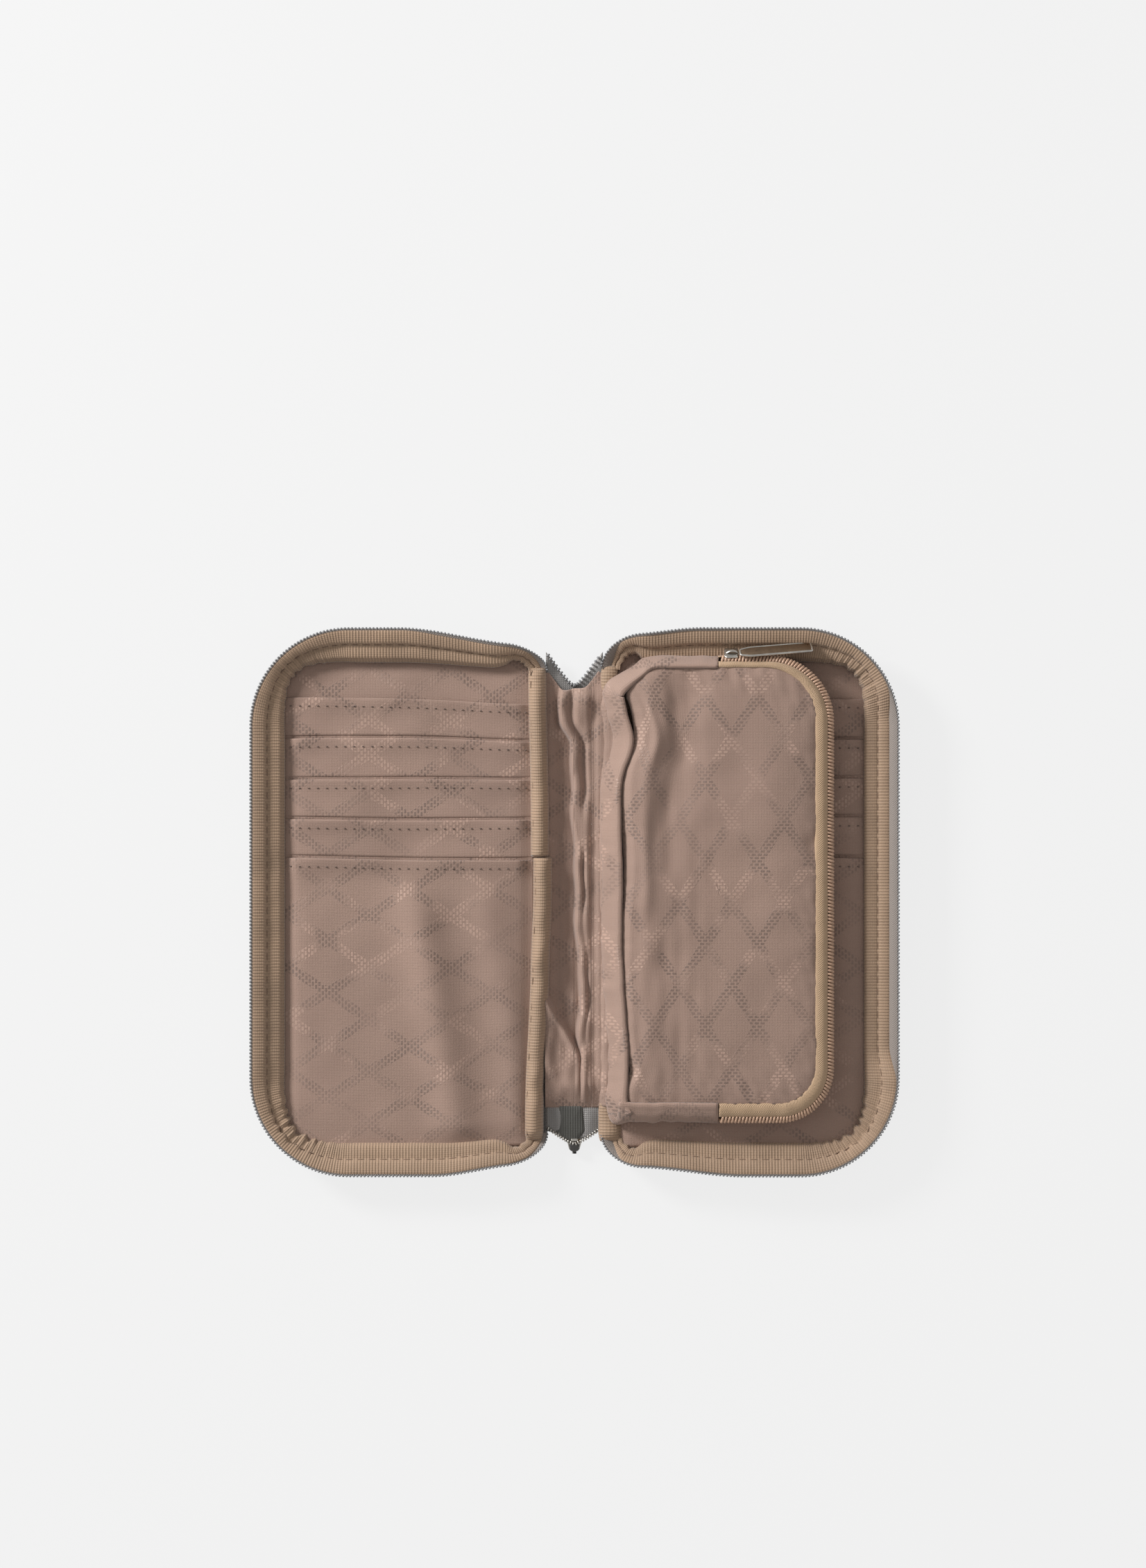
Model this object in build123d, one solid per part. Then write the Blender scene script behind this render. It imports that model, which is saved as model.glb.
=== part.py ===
from build123d import *
from math import cos, radians, sin
import os

# Zip-around travel wallet, lying open on its back: two padded covers joined by a soft spine,
# five card slots in each cover, and a zipped coin pouch hinged over the right cover.
# Millimetres. +X runs from the spine to the right cover's fore edge, +Y towards the head,
# +Z away from the table. The origin is under the middle of the open wallet.

os.makedirs("parts", exist_ok=True)

# Covers, from above
COVER_WIDTH = 108.9          # fold line to fore edge, over the zip
COVER_HEIGHT = 200.0         # head to tail, over the zip
SPINE_WIDTH = 18.6           # between the two fold lines
FORE_RADIUS = 36.0           # rim corners at the fore edge
SPINE_RADIUS = 15.0          # rim corners beside the spine
WALL_RUN = 7.6               # how far the side wall leans outwards from floor to rim

# Heights and cloth thicknesses
FOLD_Z = 3.0                 # the covers' fold axes
ZIP_GAP = 0.15               # rim to the closing plane, on each side
FOLD_GAP = 0.15              # cover or spine edge to the fold line
SHELL = 0.8
STIFFENER = 1.6
LINING = 0.4
SLOT_PANEL = 0.35
BINDING = 0.8
WALL_CLOTH = 0.9             # one cloth layer of the leaning wall, measured level
COIL = 1.25                  # height of a zip coil
COIL_DEPTH = 1.5             # level depth of a zip coil
TAPE = 2.4                   # height of bare zip tape under the coil

# Edge binding, card slots and pocket binding
BINDING_REACH = 12.7         # rim to the inner edge of the binding
SLOT_COUNT = 5
FIRST_SLOT_Y = 74.2          # top edge of the highest slot
SLOT_PITCH = 14.6
SLOT_FIT = 0.1               # slot panel to the edge binding
POCKET_BINDING_WIDTH = 6.2
POCKET_BINDING_REACH = 84.0  # how far it runs each way from the middle
UPPER_BINDING = 1.3
LOWER_BINDING = 1.9
SEAM_TAPE = 0.5

# Spine
SPINE_LIFT = 1.3             # the spine's cloth arches this far off the table
SPINE_CLOTH = 0.5
SPINE_HEAD_Y = 88.0          # shell beside the notch at the head
SPINE_NOTCH_Y = 79.0         # bottom of the notch
SPINE_TAIL_Y = -84.0
SPINE_LINING_TAIL_Y = -75.0
LINING_STEP = 3.0            # shell that shows beyond the lining in the notch

# Main zip tail
TAB_TAIL_Y = -86.5
TAB_HALF_TOP = 6.0
TAB_HALF_TAIL = 4.2
STOP_SIZE = (2.8, 1.0, 0.8)
TAIL_COIL_WIDTH = 1.4
TAIL_COIL_HEIGHT = 0.8
TAIL_COIL_OVERLAP = 0.6      # how far each coil end lies on the spine's shell
TAIL_TIP_Y = -90.0

# Pouch, given as its outermost sides and how far each level stands in from them
POUCH_RIGHT = 94.4
POUCH_HEAD = 89.9
POUCH_TAIL = -80.3
POUCH_BASE_LEFT = 11.5
POUCH_FRONT_LEFT = 17.4
POUCH_BASE_INSET = 1.2
POUCH_FRONT_IN_RIGHT = 6.5
POUCH_FRONT_IN_HEAD = 4.0
POUCH_FRONT_IN_TAIL = 6.8
POUCH_HEAD_RADIUS = 24.0
POUCH_TAIL_RADIUS = 20.0
POUCH_SPINE_RADIUS = 3.0
POUCH_CUT_X = 14.5           # slanted corner that clears the cover's head corner
POUCH_CUT_Y = 12.5
POUCH_REST_GAP = 0.35        # pouch to the card slots under it
POUCH_BACK = 0.5
POUCH_CLOTH = 0.7
POUCH_DEPTH = 10.4           # back face to front face
POUCH_FRONT = 0.7
GUSSET_HEIGHT = 2.2          # gusset cloth under the lower zip tape
LOWER_TAPE = 1.6
POUCH_COIL = 0.75
POUCH_COIL_DEPTH = 1.2
POUCH_COIL_GAP = 0.3
ZIP_START_X = 51.8           # both ends of the pouch zip
FLAP_FOLD_X = 62.5           # the front panel folds here
FLAP_GAP = 0.3
PART_GAP = 0.1               # between cloth pieces that end beside each other

# Zip sliders and pullers
POUCH_SLIDER_X = 57.6
SLIDER_TILT = 50.0           # outward lean of the pouch slider's face from level
SLIDER_LENGTH = 6.0
SLIDER_WIDTH = 5.2
SLIDER_PLATE = 0.7
SLIDER_CLEARANCE = 0.25      # pouch cloth to the inside of the slider's plate
SLIDER_LIP = 0.4             # thickness of the lip that hooks under the coil
SLIDER_LIP_DEPTH = 1.3
BRIDGE_SIZE = (3.1, 1.6, 0.6)
BRIDGE_BEHIND = 1.3          # bridge to the puller's near end
PULLER_LENGTH = 27.0
PULLER_WIDTH = 5.6
PULLER_NECK = 3.6
PULLER_NECK_LENGTH = 4.0
PULLER_PLATE = 0.8
PULLER_START = 2.2           # slider centre to the puller's near end
PULLER_LIFT = 0.5            # slider's plate to the puller's inner face
PULLER_SHIFT = 1.2           # sideways play in the bridge, away from the flap
MAIN_SLIDER_Y = -90.0
MAIN_SLIDER_SIZE = (6.0, 4.4)
MAIN_SLIDER_PLATE = 0.45
MAIN_SLIDER_LOW_Z = 1.3
MAIN_SLIDER_HIGH_Z = 2.9
MAIN_SLIDER_POST = 1.6
MAIN_PULLER_Z = 0.15
MAIN_PULLER_PLATE = 0.6
MAIN_PULLER_NEAR_Y = -91.0

# Levels and lines that follow from the sizes above
FOLD_X = SPINE_WIDTH / 2
RIM_Z = FOLD_Z + FOLD_X - ZIP_GAP
COIL_Z = RIM_Z - COIL
TAPE_Z = COIL_Z - TAPE
STIFFENER_Z = SHELL
LINING_Z = STIFFENER_Z + STIFFENER
FLOOR_Z = LINING_Z + LINING
SLOTS_TOP_Z = FLOOR_Z + SLOT_COUNT * SLOT_PANEL
COVER_NEAR = FOLD_X + FOLD_GAP
COVER_FAR = FOLD_X + COVER_WIDTH
HALF_HEIGHT = COVER_HEIGHT / 2
SPINE_HALF = FOLD_X - FOLD_GAP
SPINE_LINING_Z = SPINE_LIFT + SHELL
SLOT_NEAR = COVER_NEAR + POCKET_BINDING_WIDTH
POUCH_Z = SLOTS_TOP_Z + POUCH_REST_GAP
POUCH_GUSSET_Z = POUCH_Z + POUCH_BACK
POUCH_TAPE_Z = POUCH_GUSSET_Z + GUSSET_HEIGHT
POUCH_COIL_Z = POUCH_TAPE_Z + LOWER_TAPE
UPPER_COIL_Z = POUCH_COIL_Z + POUCH_COIL + POUCH_COIL_GAP
UPPER_TAPE_Z = UPPER_COIL_Z + POUCH_COIL
POUCH_TOP_Z = POUCH_Z + POUCH_DEPTH
POUCH_FRONT_Z = POUCH_TOP_Z - POUCH_FRONT
POUCH_ZIP_Z = POUCH_COIL_Z + POUCH_COIL + POUCH_COIL_GAP / 2


def save(node, solid):
    export_step(solid, f"parts/{node}.step")


def block(x0, x1, y0, y1, z0, z1):
    """Plain box between two corners."""
    return Pos((x0 + x1) / 2, (y0 + y1) / 2, (z0 + z1) / 2) * Box(x1 - x0, y1 - y0, z1 - z0)


def plate(points, z0, thickness):
    """Flat cloth piece cut to a straight-sided outline."""
    return Pos(0, 0, z0) * extrude(make_face(Polyline(*points, close=True)), thickness)


# ---------------------------------------------------------------- covers

def wall_inset(z):
    """How far the leaning wall's outer face stands in from the rim at height z."""
    return WALL_RUN * (1 - z / RIM_Z)


def rim_face(inset):
    """The cover's rounded outline, drawn this far inside the rim."""
    x0, x1 = COVER_NEAR + inset, COVER_FAR - inset
    face = Pos((x0 + x1) / 2, 0) * Rectangle(x1 - x0, COVER_HEIGHT - 2 * inset)
    face = fillet(face.vertices().group_by(Axis.X)[0], SPINE_RADIUS - inset)
    return fillet(face.vertices().group_by(Axis.X)[-1], FORE_RADIUS - inset)


def floor_face(inset):
    """The same outline, open to the fold line between its two spine corners."""
    far = COVER_NEAR + SPINE_RADIUS
    half = HALF_HEIGHT - SPINE_RADIUS
    return rim_face(inset) + Pos((COVER_NEAR + far) / 2, 0) * Rectangle(far - COVER_NEAR, 2 * half)


def spine_side():
    """What the walls leave open towards the spine."""
    half = HALF_HEIGHT - SPINE_RADIUS
    return block(COVER_NEAR - 1, COVER_NEAR + SPINE_RADIUS, -half, half, -1, RIM_Z + 1)


def leaning_wall(z0, z1, outside, inside):
    """Ring of cloth between two depths behind the wall's outer face, open at the spine."""
    outer, inner = (
        loft([Pos(0, 0, z) * rim_face(wall_inset(z) + depth) for z in (z0, z1)], ruled=True)
        for depth in (outside, inside)
    )
    return outer - inner - spine_side()


def cover_shell():
    floor = extrude(floor_face(wall_inset(0)), SHELL)
    return floor + leaning_wall(0, TAPE_Z, 0, WALL_CLOTH)


def cover_stiffener():
    inset = wall_inset(STIFFENER_Z) + WALL_CLOTH + SLOT_FIT
    return Pos(0, 0, STIFFENER_Z) * extrude(floor_face(inset), STIFFENER)


def cover_lining():
    inset = wall_inset(LINING_Z) + WALL_CLOTH + SLOT_FIT
    return Pos(0, 0, LINING_Z) * extrude(floor_face(inset), LINING)


def edge_binding():
    """Grosgrain binding: one half flat on the lining, the other half up the wall."""
    wall = leaning_wall(FLOOR_Z, TAPE_Z, WALL_CLOTH, 2 * WALL_CLOTH)
    outer = wall_inset(FLOOR_Z) + WALL_CLOTH + SLOT_FIT
    band = extrude(rim_face(outer) - rim_face(BINDING_REACH), BINDING)
    return wall + (Pos(0, 0, FLOOR_Z) * band - spine_side())


def slot_panel(number):
    """Card slot panel, from its own top edge down to the tail."""
    top = FIRST_SLOT_Y - number * SLOT_PITCH
    keep = block(SLOT_NEAR, COVER_FAR, -HALF_HEIGHT, top, 0, SLOT_PANEL)
    return Pos(0, 0, FLOOR_Z + number * SLOT_PANEL) * (
        extrude(floor_face(BINDING_REACH + SLOT_FIT), SLOT_PANEL) & keep)


def last_slot_y():
    return FIRST_SLOT_Y - (SLOT_COUNT - 1) * SLOT_PITCH


def cover_pieces():
    """Pieces that both covers have, drawn for the right cover."""
    pieces = {
        "outer_shell": cover_shell(),
        "stiffener": cover_stiffener(),
        "lining": cover_lining(),
        "edge_binding": edge_binding(),
        "main_zip_tape": leaning_wall(TAPE_Z, COIL_Z, 0, WALL_CLOTH),
        "main_zip_coil": leaning_wall(COIL_Z, RIM_Z, 0, COIL_DEPTH),
        "front_pocket": slot_panel(SLOT_COUNT - 1),
    }
    for number in range(SLOT_COUNT - 1):
        pieces[f"card_slot_{number + 1}"] = slot_panel(number)
    return pieces


def save_covers():
    for name, solid in cover_pieces().items():
        save(f"right_{name}", solid)
        save(f"left_{name}", mirror(solid, about=Plane.YZ))


def save_pocket_bindings():
    """The slots' free edges beside the spine are bound too."""
    reach, near, far = POCKET_BINDING_REACH, COVER_NEAR, SLOT_NEAR
    step = last_slot_y()
    save("left_slot_binding", block(-far, -near, step, reach, FLOOR_Z, FLOOR_Z + UPPER_BINDING))
    save("left_pocket_binding", block(-far, -near, -reach, step, FLOOR_Z, FLOOR_Z + LOWER_BINDING))
    save("right_slot_binding", block(near, far, -reach, reach, FLOOR_Z, FLOOR_Z + UPPER_BINDING))
    seam_z = FLOOR_Z + UPPER_BINDING
    half = -SPINE_LINING_TAIL_Y
    save("pouch_seam_tape", block(near, far, -half, half, seam_z, seam_z + SEAM_TAPE))


# ---------------------------------------------------------------- spine

def save_spine():
    w = SPINE_HALF
    shell = [(-w, SPINE_TAIL_Y), (-TAB_HALF_TOP, TAB_TAIL_Y), (TAB_HALF_TOP, TAB_TAIL_Y),
             (w, SPINE_TAIL_Y), (w, SPINE_HEAD_Y), (0, SPINE_NOTCH_Y), (-w, SPINE_HEAD_Y)]
    save("spine_shell", plate(shell, SPINE_LIFT, SHELL))
    head = SPINE_HEAD_Y - LINING_STEP
    lining = [(-w, SPINE_LINING_TAIL_Y), (w, SPINE_LINING_TAIL_Y), (w, head),
              (0, SPINE_NOTCH_Y - LINING_STEP), (-w, head)]
    save("spine_lining", plate(lining, SPINE_LINING_Z, SPINE_CLOTH))
    top = SPINE_LINING_TAIL_Y - PART_GAP
    tab = [(-TAB_HALF_TAIL, TAB_TAIL_Y), (TAB_HALF_TAIL, TAB_TAIL_Y),
           (TAB_HALF_TOP, top), (-TAB_HALF_TOP, top)]
    save("main_zip_end_tab", plate(tab, SPINE_LINING_Z, SPINE_CLOTH))
    save_spine_zip_ends()


def save_spine_zip_ends():
    """Zip ends that cross the spine: down the notch at the head, and to the slider at the tail."""
    w, rise = SPINE_HALF, SPINE_HEAD_Y - SPINE_NOTCH_Y
    head = [(-w, SPINE_HEAD_Y), (0, SPINE_NOTCH_Y), (w, SPINE_HEAD_Y),
            (w, SPINE_HEAD_Y - TAIL_COIL_WIDTH), (0, SPINE_NOTCH_Y - TAIL_COIL_WIDTH),
            (-w, SPINE_HEAD_Y - TAIL_COIL_WIDTH)]
    save("main_coil_head_end", plate(head, SPINE_LINING_Z, TAIL_COIL_HEIGHT))
    near = MAIN_SLIDER_SIZE[0] / 2 + PART_GAP
    start = SPINE_TAIL_Y + TAIL_COIL_OVERLAP
    drop = (SPINE_TAIL_Y - TAIL_TIP_Y) * (w - near) / w
    for side, sign in (("left", -1), ("right", 1)):
        coil = [(sign * w, start), (sign * near, start - drop),
                (sign * near, start - drop - TAIL_COIL_WIDTH), (sign * w, start - TAIL_COIL_WIDTH)]
        save(f"{side}_coil_tail_end", plate(coil, SPINE_LINING_Z, TAIL_COIL_HEIGHT))
    width, length, height = STOP_SIZE
    save("main_zip_stop", block(-width / 2, width / 2, TAB_TAIL_Y - length, TAB_TAIL_Y,
                                SPINE_LINING_Z, SPINE_LINING_Z + height))


# ---------------------------------------------------------------- pouch

def between(z, levels):
    """Straight-line value at height z through (height, value) pairs."""
    for (z0, v0), (z1, v1) in zip(levels, levels[1:]):
        if z <= z1:
            return v0 + (v1 - v0) * (z - z0) / (z1 - z0)
    return levels[-1][1]


def side_inset(z, front_inset):
    """The sides bulge out to the zip, then lean in to the front panel's seam."""
    return between(z, [(POUCH_Z, POUCH_BASE_INSET), (POUCH_COIL_Z, 0), (UPPER_TAPE_Z, 0),
                       (POUCH_FRONT_Z, front_inset)])


def pouch_face(z, inset=0.0):
    left = between(z, [(POUCH_Z, POUCH_BASE_LEFT), (POUCH_FRONT_Z, POUCH_FRONT_LEFT)]) + inset
    right = POUCH_RIGHT - side_inset(z, POUCH_FRONT_IN_RIGHT) - inset
    head = POUCH_HEAD - side_inset(z, POUCH_FRONT_IN_HEAD) - inset
    tail = POUCH_TAIL + side_inset(z, POUCH_FRONT_IN_TAIL) + inset
    points = [(left, tail), (right, tail), (right, head),
              (left + POUCH_CUT_X, head), (left, head - POUCH_CUT_Y)]
    shrink = side_inset(z, POUCH_FRONT_IN_HEAD) + inset
    radii = [POUCH_SPINE_RADIUS, POUCH_TAIL_RADIUS - shrink, POUCH_HEAD_RADIUS - shrink,
             POUCH_SPINE_RADIUS, POUCH_SPINE_RADIUS]
    return make_face(FilletPolyline(*points, radius=radii, close=True))


def pouch_ring(z0, z1, thickness):
    """Band of the pouch's side between two heights."""
    outer, inner = (
        loft([Pos(0, 0, z) * pouch_face(z, inset) for z in (z0, z1)], ruled=True)
        for inset in (0, thickness)
    )
    return outer - inner


def stretch(x0, x1):
    """Everything between two distances from the spine."""
    return block(x0, x1, -COVER_HEIGHT, COVER_HEIGHT, 0, 2 * POUCH_TOP_Z)


def front_sheet():
    return Pos(0, 0, POUCH_FRONT_Z) * extrude(pouch_face(POUCH_FRONT_Z), POUCH_FRONT)


def save_pouch():
    zipped = stretch(ZIP_START_X + PART_GAP, COVER_FAR)
    unzipped = stretch(0, ZIP_START_X)
    fixed = stretch(ZIP_START_X + PART_GAP, FLAP_FOLD_X - FLAP_GAP)
    flap = stretch(FLAP_FOLD_X + FLAP_GAP, COVER_FAR)
    save("pouch_back", Pos(0, 0, POUCH_Z) * extrude(pouch_face(POUCH_Z), POUCH_BACK))
    upper = [pouch_ring(z0, z1, POUCH_CLOTH) & unzipped for z0, z1 in (
        (POUCH_TAPE_Z, POUCH_COIL_Z), (POUCH_COIL_Z, UPPER_TAPE_Z), (UPPER_TAPE_Z, POUCH_FRONT_Z))]
    save("pouch_gusset", pouch_ring(POUCH_GUSSET_Z, POUCH_TAPE_Z, POUCH_CLOTH)
         + upper[0] + upper[1] + upper[2])
    save("pouch_lower_tape", pouch_ring(POUCH_TAPE_Z, POUCH_COIL_Z, POUCH_CLOTH) & zipped)
    save("pouch_lower_coil",
         pouch_ring(POUCH_COIL_Z, POUCH_COIL_Z + POUCH_COIL, POUCH_COIL_DEPTH) & zipped)
    tape = pouch_ring(UPPER_TAPE_Z, POUCH_FRONT_Z, POUCH_CLOTH)
    coil = pouch_ring(UPPER_COIL_Z, UPPER_TAPE_Z, POUCH_COIL_DEPTH)
    save("pouch_upper_tape", tape & fixed)
    save("pouch_upper_coil", coil & fixed)
    save("pouch_front", front_sheet() & stretch(0, FLAP_FOLD_X - FLAP_GAP))
    save("flap_zip_tape", tape & flap)
    save("flap_zip_coil", coil & flap)
    save("pouch_flap", front_sheet() & flap)


# ---------------------------------------------------------------- sliders and pullers

def puller_outline(length, width):
    """Flat tongue with a narrow neck, drawn along +X from its near end."""
    neck, half = PULLER_NECK / 2, width / 2
    points = [(0, -neck), (PULLER_NECK_LENGTH, -half), (length, -half),
              (length, half), (PULLER_NECK_LENGTH, half), (0, neck)]
    return make_face(Polyline(*points, close=True))


def slider_standoff():
    """Coil centre to the inside of the slider's plate, which clears the cloth above the coil."""
    lean = radians(SLIDER_TILT)
    bulge = POUCH_COIL_DEPTH / 2 * sin(lean) + (UPPER_TAPE_Z - POUCH_ZIP_Z) * cos(lean)
    rise = (POUCH_FRONT_Z - UPPER_TAPE_Z) * cos(lean) - POUCH_FRONT_IN_HEAD * sin(lean)
    return max(bulge, bulge + rise) + SLIDER_CLEARANCE


def pouch_slider():
    """Slider drawn level over its coil, which runs along X through the origin."""
    half_l, half_w = SLIDER_LENGTH / 2, SLIDER_WIDTH / 2
    inside = slider_standoff()
    top = inside + SLIDER_PLATE
    solid = block(-half_l, half_l, -half_w, half_w, inside, top)
    solid = chamfer(solid.edges().filter_by(Axis.Z), SLIDER_PLATE)
    solid += block(-half_l + 1, half_l - 1, half_w - SLIDER_LIP, half_w,
                   inside - SLIDER_LIP_DEPTH, inside)
    length, width, height = BRIDGE_SIZE
    back = PULLER_START - BRIDGE_BEHIND
    return solid + block(back - length, back, -width / 2, width / 2, top, top + height)


def pouch_puller():
    blade = extrude(puller_outline(PULLER_LENGTH, PULLER_WIDTH), PULLER_PLATE)
    lift = slider_standoff() + SLIDER_PLATE + PULLER_LIFT
    return Pos(PULLER_START, PULLER_SHIFT, lift) * blade


def on_pouch_zip(solid):
    """Puts a level slider or puller on the pouch's head zip."""
    y = POUCH_HEAD - POUCH_COIL_DEPTH / 2
    return Pos(POUCH_SLIDER_X, y, POUCH_ZIP_Z) * Rot(-SLIDER_TILT, 0, 0) * solid


def save_sliders():
    save("pouch_slider", on_pouch_zip(pouch_slider()))
    save("pouch_puller", on_pouch_zip(pouch_puller()))
    half_w, half_l = MAIN_SLIDER_SIZE[0] / 2, MAIN_SLIDER_SIZE[1] / 2
    low, high, y = MAIN_SLIDER_LOW_Z, MAIN_SLIDER_HIGH_Z, MAIN_SLIDER_Y
    main = block(-half_w, half_w, y - half_l, y + half_l, high - MAIN_SLIDER_PLATE, high)
    main += block(-half_w, half_w, y - half_l, y + half_l, low, low + MAIN_SLIDER_PLATE)
    main += block(-MAIN_SLIDER_POST / 2, MAIN_SLIDER_POST / 2, y - half_l, y, low, high)
    save("main_slider", main)
    blade = extrude(puller_outline(PULLER_LENGTH, PULLER_WIDTH), MAIN_PULLER_PLATE)
    save("main_puller", Pos(0, MAIN_PULLER_NEAR_Y, MAIN_PULLER_Z) * Rot(0, 0, 90) * blade)


save_covers()
save_pocket_bindings()
save_spine()
save_pouch()
save_sliders()
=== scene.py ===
import math

import bpy
import numpy as np
from mathutils import Matrix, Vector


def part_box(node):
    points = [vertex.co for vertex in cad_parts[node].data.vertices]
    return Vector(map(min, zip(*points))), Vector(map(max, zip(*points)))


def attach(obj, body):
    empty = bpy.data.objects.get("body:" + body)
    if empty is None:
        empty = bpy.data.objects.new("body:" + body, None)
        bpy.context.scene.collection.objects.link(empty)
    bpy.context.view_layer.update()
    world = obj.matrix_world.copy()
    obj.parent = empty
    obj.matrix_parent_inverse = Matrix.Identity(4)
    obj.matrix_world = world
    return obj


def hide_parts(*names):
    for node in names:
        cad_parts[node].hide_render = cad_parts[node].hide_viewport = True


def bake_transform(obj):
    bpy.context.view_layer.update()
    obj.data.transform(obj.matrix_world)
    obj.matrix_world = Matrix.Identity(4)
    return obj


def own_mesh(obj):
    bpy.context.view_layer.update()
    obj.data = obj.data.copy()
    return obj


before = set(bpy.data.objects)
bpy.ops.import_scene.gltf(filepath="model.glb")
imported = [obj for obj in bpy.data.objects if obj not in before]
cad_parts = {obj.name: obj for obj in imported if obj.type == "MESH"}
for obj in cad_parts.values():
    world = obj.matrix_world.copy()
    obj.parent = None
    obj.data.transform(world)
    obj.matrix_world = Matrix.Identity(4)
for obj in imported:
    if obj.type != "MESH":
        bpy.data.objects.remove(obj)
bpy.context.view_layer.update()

# Lengths below are in millimetres, in the frame's own axes, unless a name says otherwise.
MM = 0.001
UV_PER_MM = 0.01
TAU = 2 * math.pi


# ---- sizes from the frame

def corner_mm(node, corner):
    return [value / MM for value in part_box(node)[corner]]


RIGHT_RIM_LOW, RIGHT_RIM_HIGH = corner_mm("right_main_zip_coil", 0), corner_mm("right_main_zip_coil", 1)
NEAR, FAR, HALF = RIGHT_RIM_LOW[0], RIGHT_RIM_HIGH[0], RIGHT_RIM_HIGH[1]
SLOT_TOPS = [corner_mm(f"left_card_slot_{n}", 1)[1] for n in range(1, 5)]
SLOT_TOPS.append(corner_mm("left_front_pocket", 1)[1])
ZIP_START = corner_mm("pouch_lower_tape", 0)[0]
FORE_RADIUS, SPINE_RADIUS = 36.0, 15.0
BINDING_REACH = 12.7
ROUTE_STEP = 0.7
THIN_CLOTH, POUCH_CLOTH, SHELL_CLOTH, FOAM_BOARD = 0.3, 0.5, 0.75, 1.2
HEM_STITCH, HEM_PITCH = 0.9, 3.3
TAPE_STITCH, TAPE_PITCH = 2.9, 4.7
MAIN_TOOTH_PITCH, POUCH_TOOTH_PITCH = 1.3, 1.25
SIDES = (("left", -1), ("right", 1))


# ---- small mathematics

def smooth(t, span=1):
    """Soft step from 0 to 1 as t goes from 0 to span."""
    t = np.clip(t / span, 0, 1)
    return t * t * (3 - 2 * t)


def bell(t, reach=1):
    """Soft bump of height 1 at 0, which reaches about that far each way."""
    return np.exp(-(t / reach) * (t / reach))


def ripple(x, y, size, seed, count=7):
    """Smooth bumps about that size across, from about -1 to 1, the same ones each run."""
    rng = np.random.default_rng(seed)
    total = 0
    for _ in range(count):
        angle, phase = rng.uniform(0, TAU, 2)
        k = TAU / size * rng.uniform(0.7, 1.4)
        total = total + np.sin(k * (x * math.cos(angle) + y * math.sin(angle)) + phase)
    return total / math.sqrt(count)


def unit(v):
    return v / np.linalg.norm(v)


def unmoved(points):
    return points


def distance_along(line):
    """Distance of each point of a line from its first point."""
    return np.concatenate([[0], np.cumsum(np.linalg.norm(np.diff(line, axis=0), axis=1))])


def point_at(distance, along, line):
    return np.stack([np.interp(distance, along, line[:, k]) for k in range(2)], axis=1)


class Route:
    """Evenly spaced points round a closed outline, with inward normals and distance along it."""

    def __init__(self, corners, step):
        line = []
        for i, (x, y, r) in enumerate(corners):
            here = np.array([x, y], float)
            before = unit(np.array(corners[i - 1][:2], float) - here)
            after = unit(np.array(corners[(i + 1) % len(corners)][:2], float) - here)
            half = math.acos(float(np.clip(before @ after, -1, 1))) / 2
            start, end = here + before * r / math.tan(half), here + after * r / math.tan(half)
            middle = here + unit(before + after) * r / math.sin(half)
            for t in np.linspace(0, 1, 25):
                arm = unit((start - middle) * (1 - t) + (end - middle) * t)
                line.append(middle + arm * r)
        line = np.array(line + line[:1])
        along = distance_along(line)
        self.count = int(round(along[-1] / step))
        self.s = np.arange(self.count) * along[-1] / self.count
        self.p = point_at(self.s, along, line)
        ahead = np.roll(self.p, -1, axis=0) - np.roll(self.p, 1, axis=0)
        ahead /= np.linalg.norm(ahead, axis=1)[:, None]
        self.n = np.stack([-ahead[:, 1], ahead[:, 0]], axis=1)

    def at(self, inset):
        """Points that stand in from the outline by inset, an array of one row per point."""
        return self.p[:, None, :] + self.n[:, None, :] * inset[:, :, None]


def keep_order(keep):
    """Indices of the kept stretch of a closed route, in order from its first point."""
    first = int(np.flatnonzero(keep & ~np.roll(keep, 1))[0])
    order = (np.arange(len(keep)) + first) % len(keep)
    return order[: int(np.argmin(keep[order])) or len(keep)]


def rail(route, keep):
    """Length of a route's kept stretch, and a function from distances on it to points and inward normals."""
    order = keep_order(keep)
    along = distance_along(route.p[order])
    return along[-1], lambda distance: (point_at(distance, along, route.p[order]),
                                        point_at(distance, along, route.n[order]))


# ---- meshes

def grid_faces(rows, columns, wrap_rows=False, wrap_columns=False):
    i = np.arange(rows if wrap_rows else rows - 1)
    j = np.arange(columns if wrap_columns else columns - 1)
    i, j = np.meshgrid(i, j, indexing="ij")
    i2, j2 = (i + 1) % rows, (j + 1) % columns
    corners = [i * columns + j, i2 * columns + j, i2 * columns + j2, i * columns + j2]
    return np.stack(corners, -1).reshape(-1, 4)


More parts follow.
